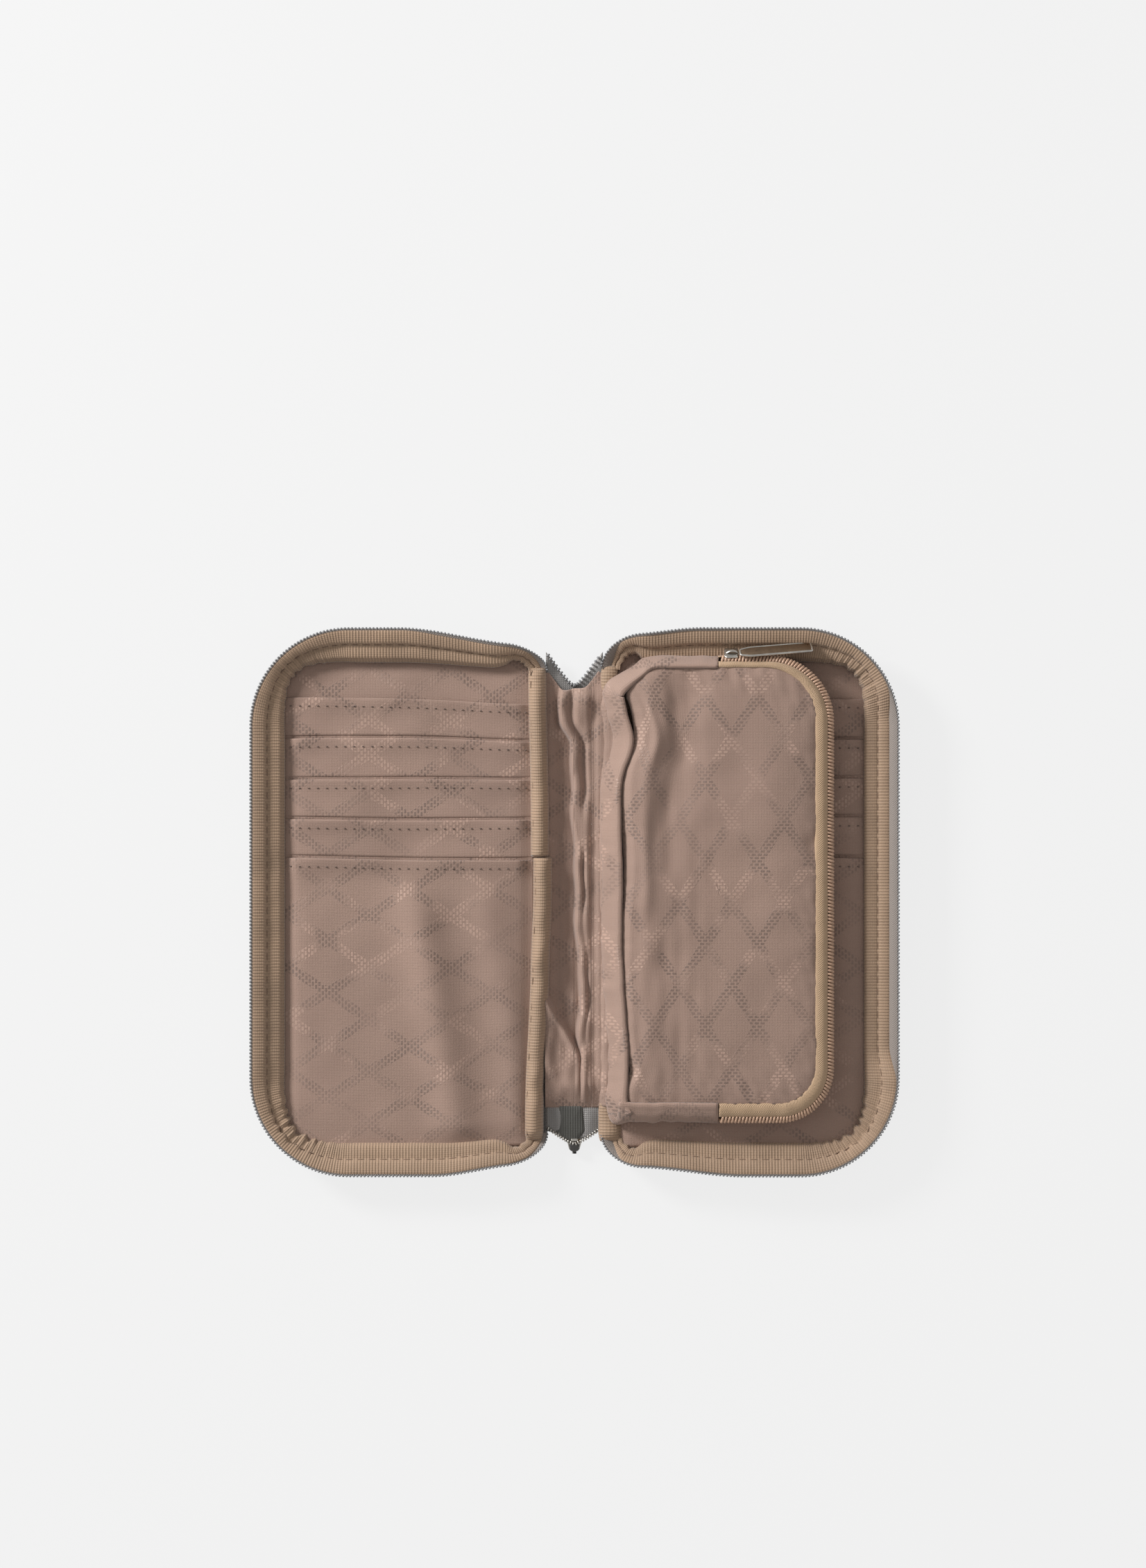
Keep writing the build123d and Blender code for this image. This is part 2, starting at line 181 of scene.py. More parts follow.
def make_mesh(name, points, faces, uv=None, flip=False):
    """Mesh object from points, faces of equal size and flat cloth positions, in millimetres."""
    points = np.asarray(points, float).reshape(-1, 3) * MM
    faces = np.asarray(faces, int)
    if flip:
        faces = faces[:, ::-1]
    size = faces.shape[1]
    mesh = bpy.data.meshes.new(name)
    mesh.vertices.add(len(points))
    mesh.vertices.foreach_set("co", points.astype(np.float32).ravel())
    mesh.loops.add(faces.size)
    mesh.loops.foreach_set("vertex_index", faces.astype(np.int32).ravel())
    mesh.polygons.add(len(faces))
    mesh.polygons.foreach_set("loop_start", np.arange(0, faces.size, size, dtype=np.int32))
    mesh.update(calc_edges=True)
    mesh.polygons.foreach_set("use_smooth", np.ones(len(faces), bool))
    if uv is not None:
        layer = mesh.uv_layers.new(name="cloth")
        flat = np.asarray(uv, float).reshape(-1, 2)[faces.ravel()] * UV_PER_MM
        layer.data.foreach_set("uv", flat.astype(np.float32).ravel())
    mesh.validate()
    made = bpy.data.objects.new(name, mesh)
    bpy.context.scene.collection.objects.link(made)
    return made


def thicken(piece, thickness, offset=-1.0):
    solid = piece.modifiers.new("thickness", "SOLIDIFY")
    solid.thickness = thickness * MM
    solid.offset = offset


def capsules(name, starts, ends, radius, rise=0.0):
    """Short round-ended threads or teeth from each start to its end, which rise in the middle."""
    axis = ends - starts
    axis /= np.linalg.norm(axis, axis=1)[:, None]
    up = np.where(np.abs(axis[:, 2:3]) > 0.9, [[1.0, 0, 0]], [[0, 0, 1.0]])
    side = np.cross(axis, up)
    side /= np.linalg.norm(side, axis=1)[:, None]
    top = np.cross(side, axis)
    stations = np.array([0.0, 0.06, 0.2, 0.5, 0.8, 0.94, 1.0])
    widths = np.array([0.15, 0.65, 1, 1, 1, 0.65, 0.15]) * radius
    rings, sides = len(stations), 7
    t = stations[None, :, None]
    middle = starts[:, None] * (1 - t) + ends[:, None] * t + np.array([0, 0, rise]) * (4 * t * (1 - t))
    angle = np.arange(sides) * TAU / sides
    around = (side[:, None, None] * np.cos(angle)[None, None, :, None]
              + top[:, None, None] * np.sin(angle)[None, None, :, None])
    points = middle[:, :, None] + around * widths[None, :, None, None]
    one = grid_faces(rings, sides, wrap_columns=True)
    faces = (one[None] + (np.arange(len(starts)) * rings * sides)[:, None, None]).reshape(-1, 4)
    return make_mesh(name, points, faces)


def cap_ends(points, uv, share):
    """Closes the two ends of a tube's rings with small rings, that share of the end rings' size."""
    hubs = points[[0, -1]].mean(axis=1, keepdims=True)
    caps = hubs + (points[[0, -1]] - hubs) * share
    return np.concatenate([caps[:1], points, caps[1:]]), np.concatenate([uv[:1], uv, uv[-1:]])


def sweep(name, route, inset, height, side=1, keep=None, settle=unmoved):
    """Band that follows the route: inset and height have a row per route point, a column per profile point.

    With keep, it is a tube along that stretch only, and otherwise an open sheet all the way round.
    """
    points = np.concatenate([route.at(inset), height[:, :, None]], axis=2)
    across = distance_along(np.column_stack([inset.mean(0), height.mean(0)]))
    uv = np.stack(np.broadcast_arrays(route.s[:, None], across[None, :]), axis=2)
    if keep is not None:
        order = keep_order(keep)
        points, uv = cap_ends(points[order], uv[order], 0.03)
    points = settle(points)
    faces = grid_faces(*points.shape[:2], keep is None, keep is not None)
    return make_mesh(name, points, faces, uv, flip=side < 0)


def fan(name, route, inset, height, rings, side=1, settle=unmoved, power=1.0):
    """Sheet that fills the route from its middle out to inset, with height(x, y, r) over it."""
    edge = route.p + route.n * inset
    middle = edge.mean(axis=0)
    r = np.linspace(0.02, 1, rings) ** power
    xy = middle + (edge[None] - middle) * r[:, None, None]
    z = height(xy[:, :, 0], xy[:, :, 1], r[:, None])
    points = np.concatenate([xy, np.broadcast_to(z, xy.shape[:2])[:, :, None]], axis=2)
    hub = points[:1].mean(axis=1, keepdims=True) * 0.999 + points[:1] * 0.001
    points = np.concatenate([hub, points])
    uv = points[:, :, :2].copy()
    points = settle(points)
    return make_mesh(name, points, grid_faces(*points.shape[:2], False, True), uv, flip=side < 0)


def sheet_grid(name, x, y, z, flip=False):
    points = np.stack(np.broadcast_arrays(x, y, z), axis=2)
    return make_mesh(name, points, grid_faces(*points.shape[:2]), points[:, :, :2], flip=flip)


# ---- materials

def tint(color, amount):
    return tuple(min(1.0, channel * amount) for channel in color)


class Shader:
    """Short way to lay out a procedural material."""

    def __init__(self, name, color, rough, metallic=0.0, sheen=0.0):
        self.material = bpy.data.materials.new(name)
        self.material.use_nodes = True
        self.tree = self.material.node_tree
        self.bsdf = self.tree.nodes["Principled BSDF"]
        self.bsdf.inputs["Base Color"].default_value = (*color, 1)
        self.bsdf.inputs["Roughness"].default_value = rough
        self.bsdf.inputs["Metallic"].default_value = metallic
        self.bsdf.inputs["Sheen Weight"].default_value = sheen
        self.bsdf.inputs["Sheen Roughness"].default_value = 0.5
        self.material.diffuse_color = (*color, 1)

    def node(self, kind, **inputs):
        made = self.tree.nodes.new(kind)
        for key, value in inputs.items():
            self.feed(made.inputs[key.replace("_", " ")], value)
        return made

    def feed(self, socket, value):
        if isinstance(value, bpy.types.NodeSocket):
            self.tree.links.new(value, socket)
        else:
            socket.default_value = value

    def math(self, operation, a, b=0.0, c=None):
        made = self.tree.nodes.new("ShaderNodeMath")
        made.operation = operation
        self.feed(made.inputs[0], a)
        self.feed(made.inputs[1], b)
        if c is not None:
            self.feed(made.inputs[2], c)
        return made.outputs[0]

    def times(self, a, b):
        return self.math("MULTIPLY", a, b)

    def plus(self, a, b):
        return self.math("ADD", a, b)

    def cloth_mm(self):
        """Flat cloth position in millimetres, along and across."""
        uv = self.node("ShaderNodeUVMap")
        parts = self.node("ShaderNodeSeparateXYZ", Vector=uv.outputs[0])
        return [self.times(parts.outputs[k], 1 / UV_PER_MM) for k in range(2)]

    def place_mm(self):
        """Position on the object in millimetres."""
        made = self.node("ShaderNodeTexCoord")
        scale = self.node("ShaderNodeVectorMath", Vector=made.outputs["Object"])
        scale.operation = "SCALE"
        scale.inputs["Scale"].default_value = 1 / MM
        return scale.outputs[0]

    def noise(self, vector, per_mm, detail=3.0, rough=0.5):
        made = self.node("ShaderNodeTexNoise", Vector=vector, Scale=per_mm, Detail=detail, Roughness=rough)
        return made.outputs["Fac"]

    def mix(self, factor, a, b):
        made = self.tree.nodes.new("ShaderNodeMix")
        made.data_type = "RGBA"
        self.feed(made.inputs[0], factor)
        self.feed(made.inputs[6], a if isinstance(a, bpy.types.NodeSocket) else (*a, 1))
        self.feed(made.inputs[7], b if isinstance(b, bpy.types.NodeSocket) else (*b, 1))
        return made.outputs[2]

    def span(self, value, low, high, to_low=0.0, to_high=1.0):
        made = self.node("ShaderNodeMapRange", Value=value)
        for key, number in (("From Min", low), ("From Max", high), ("To Min", to_low), ("To Max", to_high)):
            made.inputs[key].default_value = number
        return made.outputs[0]

    def mottle(self, value, color, dark, light, low=0.3, high=0.7):
        """The colour's dark tint where value is low, and its light one where it is high."""
        return self.mix(self.span(value, low, high), tint(color, dark), tint(color, light))

    def wave(self, value, pitch):
        """Ridges of that pitch, from 0 to 1."""
        return self.math("MULTIPLY_ADD", self.math("SINE", self.times(value, TAU / pitch)), 0.5, 0.5)

    def bump(self, height, distance, strength=1.0):
        made = self.node("ShaderNodeBump", Height=height)
        made.inputs["Strength"].default_value = strength
        made.inputs["Distance"].default_value = distance * MM
        self.tree.links.new(made.outputs[0], self.bsdf.inputs["Normal"])

    def color(self, value):
        self.tree.links.new(value, self.bsdf.inputs["Base Color"])

    def rough(self, value):
        self.tree.links.new(value, self.bsdf.inputs["Roughness"])


LINING = (0.315, 0.207, 0.161)
GROSGRAIN = (0.335, 0.222, 0.143)
TAN_TAPE = (0.445, 0.300, 0.183)
SHELL_GREY = (0.245, 0.232, 0.222)
TAPE_GREY = (0.228, 0.195, 0.174)


def lattice_dots(shader, along, across, wide, tall):
    """Staggered dots that keep to the bands of a diamond lattice, 1 on a dot and 0 elsewhere."""
    a, b = shader.math("DIVIDE", along, wide), shader.math("DIVIDE", across, tall)
    bands = [shader.span(shader.math("PINGPONG", shader.math(sign, a, b), 0.5), 0.120, 0.105)
             for sign in ("ADD", "SUBTRACT")]
    band = shader.math("MAXIMUM", *bands)
    row = shader.math("DIVIDE", across, 1.2)
    odd = shader.times(shader.math("PINGPONG", shader.math("FLOOR", row), 1.0), 0.5)
    column = shader.plus(shader.math("DIVIDE", along, 2.2), odd)
    dot = shader.times(shader.span(shader.math("PINGPONG", column, 0.5), 0.13, 0.20),
                      shader.span(shader.math("PINGPONG", row, 0.5), 0.14, 0.22))
    return shader.times(band, dot)


def lining_cloth(name, turned):
    """Jacquard lining: plain weave with a dotted diamond lattice that is dull here and satin there; the
    satin's sheen is painted, with the dots lighter in some patches and darker in others.
    """
    shader = Shader(name, LINING, 0.72, sheen=0.25)
    along, across = shader.cloth_mm()
    place = shader.place_mm()
    dots = lattice_dots(shader, *((across, along) if turned else (along, across)), 19.0, 30.0)
    tone = shader.mottle(shader.noise(place, 0.035, 2.0), LINING, 0.95, 1.06)
    grain = shader.noise(place, 1.6, 3.0, 0.7)
    tone = shader.mix(shader.span(grain, 0.25, 0.75, 0.0, 0.16), tone, tint(LINING, 0.55))
    # painted sheen and shade: the satin dots are painted lighter in some patches and darker in others
    painted_dot_sheen = shader.mottle(shader.noise(place, 0.06, 1.0), LINING, 0.62, 1.36, 0.5, 0.6)
    shown = shader.times(dots, shader.span(shader.noise(place, 0.045, 2.0), 0.34, 0.6, 0.35, 1.0))
    shader.color(shader.mix(shown, tone, painted_dot_sheen))
    shader.rough(shader.math("SUBTRACT", 0.74, shader.times(shown, 0.28)))
    weave = shader.plus(shader.times(shader.wave(along, 0.45), shader.wave(across, 0.45)),
                        shader.times(grain, 1.1))
    shader.bump(shader.plus(weave, shader.times(shown, 0.7)), 0.10, 0.8)
    return shader.material


def ribbed_cloth(name, color, pitch, sheen=0.3, strength=0.9):
    """Grosgrain: ribs across the tape, whose length runs along U, with painted shade in the grooves between
    the ribs.
    """
    shader = Shader(name, color, 0.68, sheen=sheen)
    along, across = shader.cloth_mm()
    place = shader.place_mm()
    rib = shader.wave(along, pitch)
    tone = shader.mottle(shader.noise(place, 0.08, 3.0), color, 0.88, 1.12)
    fuzz = shader.noise(place, 2.2, 2.0)
    # painted shade: the grooves between the ribs are painted darker
    groove = shader.times(shader.math("SUBTRACT", 1.0, rib), 0.42)
    tone = shader.mix(groove, tone, tint(color, 0.42))
    tone = shader.mix(shader.span(fuzz, 0.35, 0.75, 0.0, 0.22), tone, tint(color, 1.5))
    shader.color(tone)
    height = shader.plus(rib, shader.times(shader.wave(across, 0.6), 0.3))
    shader.bump(shader.plus(height, shader.times(fuzz, 0.5)), 0.16, strength)
    return shader.material


def herringbone_tape(name, color):
    """Woven zip tape with a fine slanted twill, with painted shade in the twill's valleys."""
    shader = Shader(name, color, 0.7, sheen=0.25)
    along, across = shader.cloth_mm()
    place = shader.place_mm()
    slant = shader.plus(along, shader.math("PINGPONG", across, 1.6))
    twill = shader.wave(slant, 0.8)
    grain = shader.noise(place, 1.8, 2.0)
    # painted shade: the twill's valleys are painted darker
    tone = shader.mix(shader.times(shader.math("SUBTRACT", 1.0, twill), 0.28), color, tint(color, 0.6))
    tone = shader.mix(shader.span(grain, 0.3, 0.7, 0.0, 0.25), tone, tint(color, 1.3))
    shader.color(tone)
    shader.bump(shader.plus(twill, grain), 0.12, 0.8)
    return shader.material


def shell_cloth(name, color):
    """Silver-grey outer cloth: tight plain weave with a slight metallic glint and fine creasing."""
    shader = Shader(name, color, 0.42, metallic=0.35, sheen=0.15)
    along, across = shader.cloth_mm()
    place = shader.place_mm()
    weave = shader.times(shader.wave(along, 0.7), shader.wave(across, 0.7))
    crease = shader.noise(place, 0.16, 4.0, 0.6)
    tone = shader.mottle(shader.noise(place, 0.03, 2.0), color, 0.85, 1.12)
    tone = shader.mix(shader.times(weave, 0.35), tone, tint(color, 0.6))
    shader.color(tone)
    shader.rough(shader.span(crease, 0.3, 0.7, 0.34, 0.55))
    shader.bump(shader.plus(shader.times(weave, 0.5), shader.times(crease, 2.2)),
                0.25, 0.7)
    return shader.material


def thread(name, color):
    shader = Shader(name, color, 0.6, sheen=0.3)
    ply = shader.noise(shader.place_mm(), 3.0, 2.0)
    shader.color(shader.mottle(ply, color, 0.72, 1.18))
    shader.bump(ply, 0.08)
    return shader.material


def nylon(name, color):
    shader = Shader(name, color, 0.42)
    grain = shader.noise(shader.place_mm(), 0.9, 3.0)
    shader.color(shader.mottle(grain, color, 0.75, 1.3))
    shader.rough(shader.span(grain, 0.3, 0.7, 0.34, 0.52))
    shader.bump(grain, 0.04)
    return shader.material


def metal(name, color, rough, tarnish):
    """Cast and plated zinc: soft wear, darker in cloudy patches, finely brushed."""
    shader = Shader(name, color, rough, metallic=1.0)
    place = shader.place_mm()
    cloud = shader.noise(place, 0.35, 4.0, 0.6)
    fine = shader.noise(place, 4.0, 2.0)
    shader.color(shader.mix(shader.span(cloud, 0.35, 0.7, 0.0, 0.8), color, tint(color, tarnish)))
    shader.rough(shader.span(cloud, 0.3, 0.7, rough * 0.75, min(1.0, rough * 1.6)))
    shader.bump(fine, 0.02, 0.6)
    return shader.material


def foam(name):
    shader = Shader(name, (0.72, 0.71, 0.68), 0.9)
    cells = shader.node("ShaderNodeTexVoronoi", Vector=shader.place_mm(), Scale=1.4)
    shader.color(shader.mix(cells.outputs["Distance"], (0.60, 0.59, 0.56), (0.78, 0.77, 0.74)))
    shader.bump(cells.outputs["Distance"], 0.3)
    return shader.material


LOOKS = {
    # name: record slot, then the function that makes the material and its settings
    "cover_lining": ("lining_fabric", lining_cloth, True),
    "pouch_lining": ("lining_fabric", lining_cloth, False),
    "binding": ("binding_grosgrain", ribbed_cloth, GROSGRAIN, 1.1),
    "tan_tape": ("zip_tape_tan", herringbone_tape, TAN_TAPE),
    "grey_tape": ("zip_tape_grey", herringbone_tape, TAPE_GREY),
    "shell": ("shell_fabric", shell_cloth, SHELL_GREY),
    "tab": ("zip_tab_dark", ribbed_cloth, (0.066, 0.064, 0.056), 0.9, 0.1, 0.6),
    # thread darker than its own tan: partly the thread's colour, partly painted shade of the stitched valley
    "tan_thread": ("binding_grosgrain", thread, (0.17, 0.10, 0.06)),
    "mauve_thread": ("lining_fabric", thread, (0.12, 0.075, 0.055)),
    "grey_coil": ("zip_coil_grey", nylon, (0.20, 0.20, 0.205)),
    # painted light: the coil's colour is lighter than its own brown, making up for the shade beside the tape
    "brown_coil": ("zip_coil_brown", nylon, (0.459, 0.297, 0.204)),
    "nickel": ("slider_metal", metal, (0.66, 0.63, 0.58), 0.26, 0.55),
    "brass": ("puller_metal", metal, (0.30, 0.215, 0.145), 0.36, 0.45),
    "gunmetal": ("slider_metal", metal, (0.13, 0.125, 0.12), 0.34, 0.6),
    "foam": ("foam", foam),
}
MATERIALS = {name: maker(name, *settings) for name, (_, maker, *settings) in LOOKS.items()}


def finish_piece(piece, look, body=None, replaces=()):
    """Look, body and the CAD nodes that the piece stands for."""
    piece.data.materials.clear()
    piece.data.materials.append(MATERIALS[look])
    if body:
        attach(piece, body)
    if replaces:
        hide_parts(*replaces)
    return piece


# ---- covers

COVER = Route([(NEAR, -HALF, SPINE_RADIUS), (FAR, -HALF, FORE_RADIUS),
               (FAR, HALF, FORE_RADIUS), (NEAR, HALF, SPINE_RADIUS)], ROUTE_STEP)
RIM = (np.abs(COVER.p[:, 1]) > HALF - SPINE_RADIUS + 0.2) | (COVER.p[:, 0] > NEAR + 0.2)
RIM_TOP = RIGHT_RIM_HIGH[2]
WALL_RUN, WALL_FOOT = 7.6, 8.2
FLOOR = corner_mm("right_lining", 1)[2]
PANEL_LEVELS = [corner_mm(f"left_card_slot_{n}", 1)[2] for n in range(1, 5)]
PANEL_LEVELS.append(corner_mm("left_front_pocket", 1)[2])
POCKET = len(SLOT_TOPS) - 1
SEAT = 0.06             # how far thread and cloth lie above what they rest on


def settle_cover(side):
    """Function that lays side coordinates on a cover, whose head and tail edges sink towards the spine."""
    head, head_from, head_run = (6.0, 64, 46) if side < 0 else (2.2, 46, 26)
    tail, tail_from, tail_run = (4.3, 52, 34) if side < 0 else (3.4, 62, 40)

    def settle(points):
        x, y = points[..., 0], points[..., 1]
        drop = np.where(y > 0, head * smooth((head_from - x) / head_run),
                        tail * smooth((tail_from - x) / tail_run))
        share = 0.3 * smooth(np.abs(y) / 85) + 0.7 * smooth(np.abs(y) - 84, 16)
        moved = points.copy()
        moved[..., 1] = y - np.sign(y) * drop * share
        return moved * [side, 1, 1]
    return settle


def from_end(x, y):
    """Distance along the rim from where it meets the spine, roughly, in side coordinates."""
    return np.hypot(x - NEAR, np.maximum(0, np.abs(y) - (HALF - SPINE_RADIUS)))


def near_point(x, y, px, py, reach):
    return bell(np.hypot(x - px, np.abs(y) - py), reach)


def wall_height(inset, share):
    return RIM_TOP * share * (1 - inset / WALL_RUN)


def rounded_floor(inset, share):
    """The wall's slope and the tray's floor, run together with a soft corner."""
    above = wall_height(inset, share) + 0.2 * share - (FLOOR + 0.5)
    return FLOOR + 0.5 + 0.8 * np.logaddexp(0, above / 0.8)


def rim_share(x, y, side):
    return (0.40 + 0.60 * smooth(from_end(x, y) / 24)) * (0.88 if side < 0 else 0.98)


def tuck(x, y, inset):
    """Moves points that lie beyond the cover's rounded outline, less inset, back onto it."""
    low, high, half_y = NEAR + 4.6, FAR - inset, HALF - inset
    middle, half_x = (low + high) / 2, (high - low) / 2
    dx = np.clip(x - middle, -half_x, half_x)
    y = np.clip(y, -half_y, half_y)
    r = np.where(dx > 0, FORE_RADIUS - inset, max(SPINE_RADIUS - inset, 3.0))
    kx, ky = np.abs(dx) - (half_x - r), np.abs(y) - (half_y - r)
    over = (kx > 0) & (ky > 0)
    f = np.where(over, np.minimum(1, r / np.maximum(np.hypot(kx, ky), 1e-6)), 1)
    dx = np.where(over, np.sign(dx) * (half_x - r + kx * f), dx)
    y = np.where(over, np.sign(y) * (half_y - r + ky * f), y)
    return middle + dx, y


def tray_relief(side):
    """How the pocket cloth lies: soft waves, and on the left cover a long fold with a lower one beside it."""
    def relief(x, y):
        edge = smooth(x - 15, 9) * smooth(106 - x, 9) * smooth(90 - np.abs(y), 9)
        wave = 0.22 * ripple(x, y, 55, 5 + side) + 0.10 * ripple(x, y, 21, 9 + side)
        if side < 0:
            line = 47 + 0.18 * (y - 9)
            low = smooth(16 - y, 22)
            wave = wave + 3.1 * bell(x - line - 12, 8.0) * low
            wave = wave + 1.3 * bell(x - line + 13, 7) * low
        return edge * (wave + 0.4)
    return relief


def panel_surface(side, index):
    """Height of pocket panel number index over the tray."""
    relief, top_y, level = tray_relief(side), SLOT_TOPS[index], PANEL_LEVELS[index]
    sag = 1.3 if index == POCKET else 1.0

    def dip(x, y):
        if index == POCKET:
            return 0
        line = SLOT_TOPS[index + 1] + bend_of_mouth(side, index + 1)(x)
        return 0.8 * bell(y - line - 0.45, 0.55)

    def height(x, y):
        free = smooth(x - 15.5, 5) * smooth(106.5 - x, 6)
        mouth = free * bell(top_y - y, 5.0) * (sag + 0.25 * ripple(x, y, 30, 31 + index))
        pressed = FLOOR + (level - FLOOR) * (0.45 + 0.55 * free)
        return pressed + relief(x, y) + mouth - dip(x, y)
    return height


def bend_of_mouth(side, index):
    """Slot mouths aren't ruler straight: they dip slightly between their ends."""
    return lambda x: 0.45 * np.sin((x - 15) / 31 + index * 1.3 + side) - 0.3 * bell(x - 60, 22)


def add_cover(word, side):
    body = f"{word}_cover"
    settle = settle_cover(side)
    relief = tray_relief(side)
    px, py = COVER.p[:, 0], COVER.p[:, 1]
    share = rim_share(px, py, side)

    # outer shell: a shallow dish, creased slightly
    ring = np.concatenate([[0.0008], np.linspace(0.03, 1, 26)])
    edge = COVER.p + COVER.n * WALL_FOOT
    middle = edge.mean(axis=0)
    rows = [np.column_stack([middle + (edge - middle) * r, np.full(COVER.count, SEAT)]) for r in ring]
    for t in np.linspace(0.08, 1, 12):
        inset = WALL_FOOT - 7.9 * t
        lift = np.maximum(RIM * (wall_height(inset, share) - 1.6), SEAT + ~RIM * 1.2 * t)
        rows.append(np.column_stack([COVER.p + COVER.n * inset, np.minimum(lift, RIM_TOP * share - 1.2)]))
    points = np.stack(rows)
    bulge = 0.35 * (1 + ripple(points[..., 0], points[..., 1], 48, 3 + side)) * (points[..., 2] < 0.1)
    uv = points[..., :2].copy()
    points[..., 2] += bulge * smooth(HALF - 12 - np.abs(points[..., 1]), 20)
    points = settle(points)
    shell = make_mesh(f"{word}_shell_cloth", points, grid_faces(len(rows), COVER.count, False, True), uv,
                      flip=side > 0)
    thicken(shell, SHELL_CLOTH)
    finish_piece(shell, "shell", body, [f"{word}_outer_shell"])

    # stiffener
    pad = fan(f"{word}_foam_board", COVER, 9.2, lambda x, y, r: 1.15, 14, side, settle)
    thicken(pad, FOAM_BOARD, 1.0)
    finish_piece(pad, "foam", body, [f"{word}_stiffener"])

    # lining that the slots are sewn to
    lining = fan(f"{word}_lining_cloth", COVER, 6.4, lambda x, y, r: FLOOR - 0.1 + relief(x, y), 60,
                 side, settle)
    thicken(lining, THIN_CLOTH)
    finish_piece(lining, "cover_lining", body, [f"{word}_lining"])

    # slot panels and front pocket, each with a folded hem and a row of stitches
    for index, top_y in enumerate(SLOT_TOPS):
        height = panel_surface(side, index)
        bend = bend_of_mouth(side, index)
        x = np.arange(14.6, 108.2, 1.0)[:, None]
        under = np.array([[4.2, -0.55], [2.4, -0.62], [0.9, -0.62], [0.2, -0.5], [0.0, -0.25], [0.15, -SEAT]])
        face = 0.5 + (top_y + 91.0) * np.linspace(0, 1, 84) ** 1.25
        next_mouth = SLOT_TOPS[0] - SLOT_TOPS[1]
        face = np.sort(np.concatenate([face, next_mouth + np.arange(-2.0, 1.0, 0.25)]))
        down = np.concatenate([under[:, 0], face])[None, :]
        drop = np.concatenate([under[:, 1], np.zeros(len(face))])[None, :]
        gx, gy = np.broadcast_arrays(x, top_y - down)
        cloth_uv = np.stack([gx, gy + 13.0 * index], axis=2)
        gy = gy + bend(gx) * smooth(gy + 95, 40)
        gx, gy = tuck(gx, gy, 7.6)
        z = height(gx, gy) + drop
        points = settle(np.stack([gx, gy, z], 2))
        name, node = f"{word}_slot_cloth_{index + 1}", f"{word}_card_slot_{index + 1}"
        if index == POCKET:
            name, node = f"{word}_pocket_cloth", f"{word}_front_pocket"
        panel = make_mesh(name, points, grid_faces(*points.shape[:2]), cloth_uv, flip=side > 0)
        thicken(panel, THIN_CLOTH)
        finish_piece(panel, "cover_lining", body, [node])

        start = np.arange(17.2, 104.0, HEM_PITCH)
        line_y = top_y - 3.1 + bend(start)

        def on_line(x):
            return settle(np.column_stack([x, line_y, height(x, line_y) + SEAT]))
        row = capsules(f"{name}_stitches", on_line(start), on_line(start + HEM_STITCH), 0.23, 0.05)
        finish_piece(row, "mauve_thread", body)

    # edge binding: two rolled lobes with a stitched valley, gathered at the corners
    fore = near_point(px, py, 107.7, 89.5, 15)
    spine_end = smooth(30 - px, 13)
    grey_side, head_share, spine_share = (0, 0.6, 1.0) if side < 0 else (1, 0.2, 2.8)
    grey_side = grey_side * smooth(px - 110, 6) * smooth(py + 66, 14) * smooth(80 - py, 14)
    head_gap = head_share * smooth(py - 60, 20) * smooth(62 - px, 14)
    outer = 0.95 + 2.4 * grey_side + 0.7 * head_gap + spine_share * smooth(17 - px, 7)
    outer_column, share_column = outer[:, None], share[:, None]
    gather = 0.5 + 0.5 * np.sin(TAU * COVER.s / 5.2 + 1.2 * np.sin(COVER.s / 3.1))
    tabs = fore * gather * np.where(py < 0, 1.9, 0.9) + near_point(px, py, 17, 93, 7) * gather * 1.2
    inner = BINDING_REACH - 4.6 * fore - 5.6 * spine_end + tabs
    width = (inner - outer)[:, None]
    columns, groove = 25, 11
    t = np.linspace(0, 1, columns)[None, :]
    valley = groove / (columns - 1)
    inset = outer_column + width * t
    low_edge = FLOOR + 1.0 + 0.6 * share_column
    high_edge = wall_height(outer_column, share_column) + 0.7
    steps = 0.26 * np.minimum(1, t / valley) + 0.20 * smooth(t - valley + 0.05, 0.12)
    steps = steps + 0.24 * np.maximum(0, t - valley) / (1 - valley) + 0.55 * smooth(t - 0.86, 0.14)
    base = high_edge + (low_edge - high_edge) * np.minimum(1, steps)
    lobe = 0.45 * np.sin(np.pi * np.clip(t / valley, 0, 1)) ** 0.6
    lobe = lobe + 0.45 * np.sin(np.pi * np.clip((t - valley) / (1 - valley), 0, 1)) ** 0.6
    crease = np.sin(TAU * COVER.s / 2.6 + 2 * np.sin(COVER.s / 7.0))
    pucker = 0.30 * (fore * crease)[:, None] * smooth(t - 0.2, 0.5)
    wave = 0.14 * ripple(px, py, 16, 12 + side)[:, None]
    groove_line = 0.45 * bell(t - valley, 0.035)
    top = base + lobe * (0.75 + 0.25 * share_column) + pucker + wave * np.sin(np.pi * t) - groove_line
    top = np.minimum(top, RIM_TOP * share_column - 0.25)
    low_inset = outer_column + 0.25 + width * np.linspace(1, 0, 7)[None, 1:] * 0.97
    low = np.minimum(rounded_floor(low_inset, share_column) - 0.15, top[:, 2:3] - 0.6)
    binding = sweep(f"{word}_binding_tape", COVER, np.hstack([inset, low_inset]), np.hstack([top, low]),
                    side, RIM, settle)
    finish_piece(binding, "binding", body, [f"{word}_edge_binding"])

    starts = np.flatnonzero(RIM & (np.arange(COVER.count) % 6 == 0))
    ends = (starts + 4) % COVER.count
    starts, ends = starts[RIM[ends]], ends[RIM[ends]]

    def on_groove(i):
        xy = COVER.p[i] + COVER.n[i] * inset[i, groove][:, None]
        return settle(np.column_stack([xy, top[i, groove] + 0.10]))
    seam = capsules(f"{word}_binding_stitches", on_groove(starts), on_groove(ends), 0.2, 0.08)
    finish_piece(seam, "tan_thread", body)

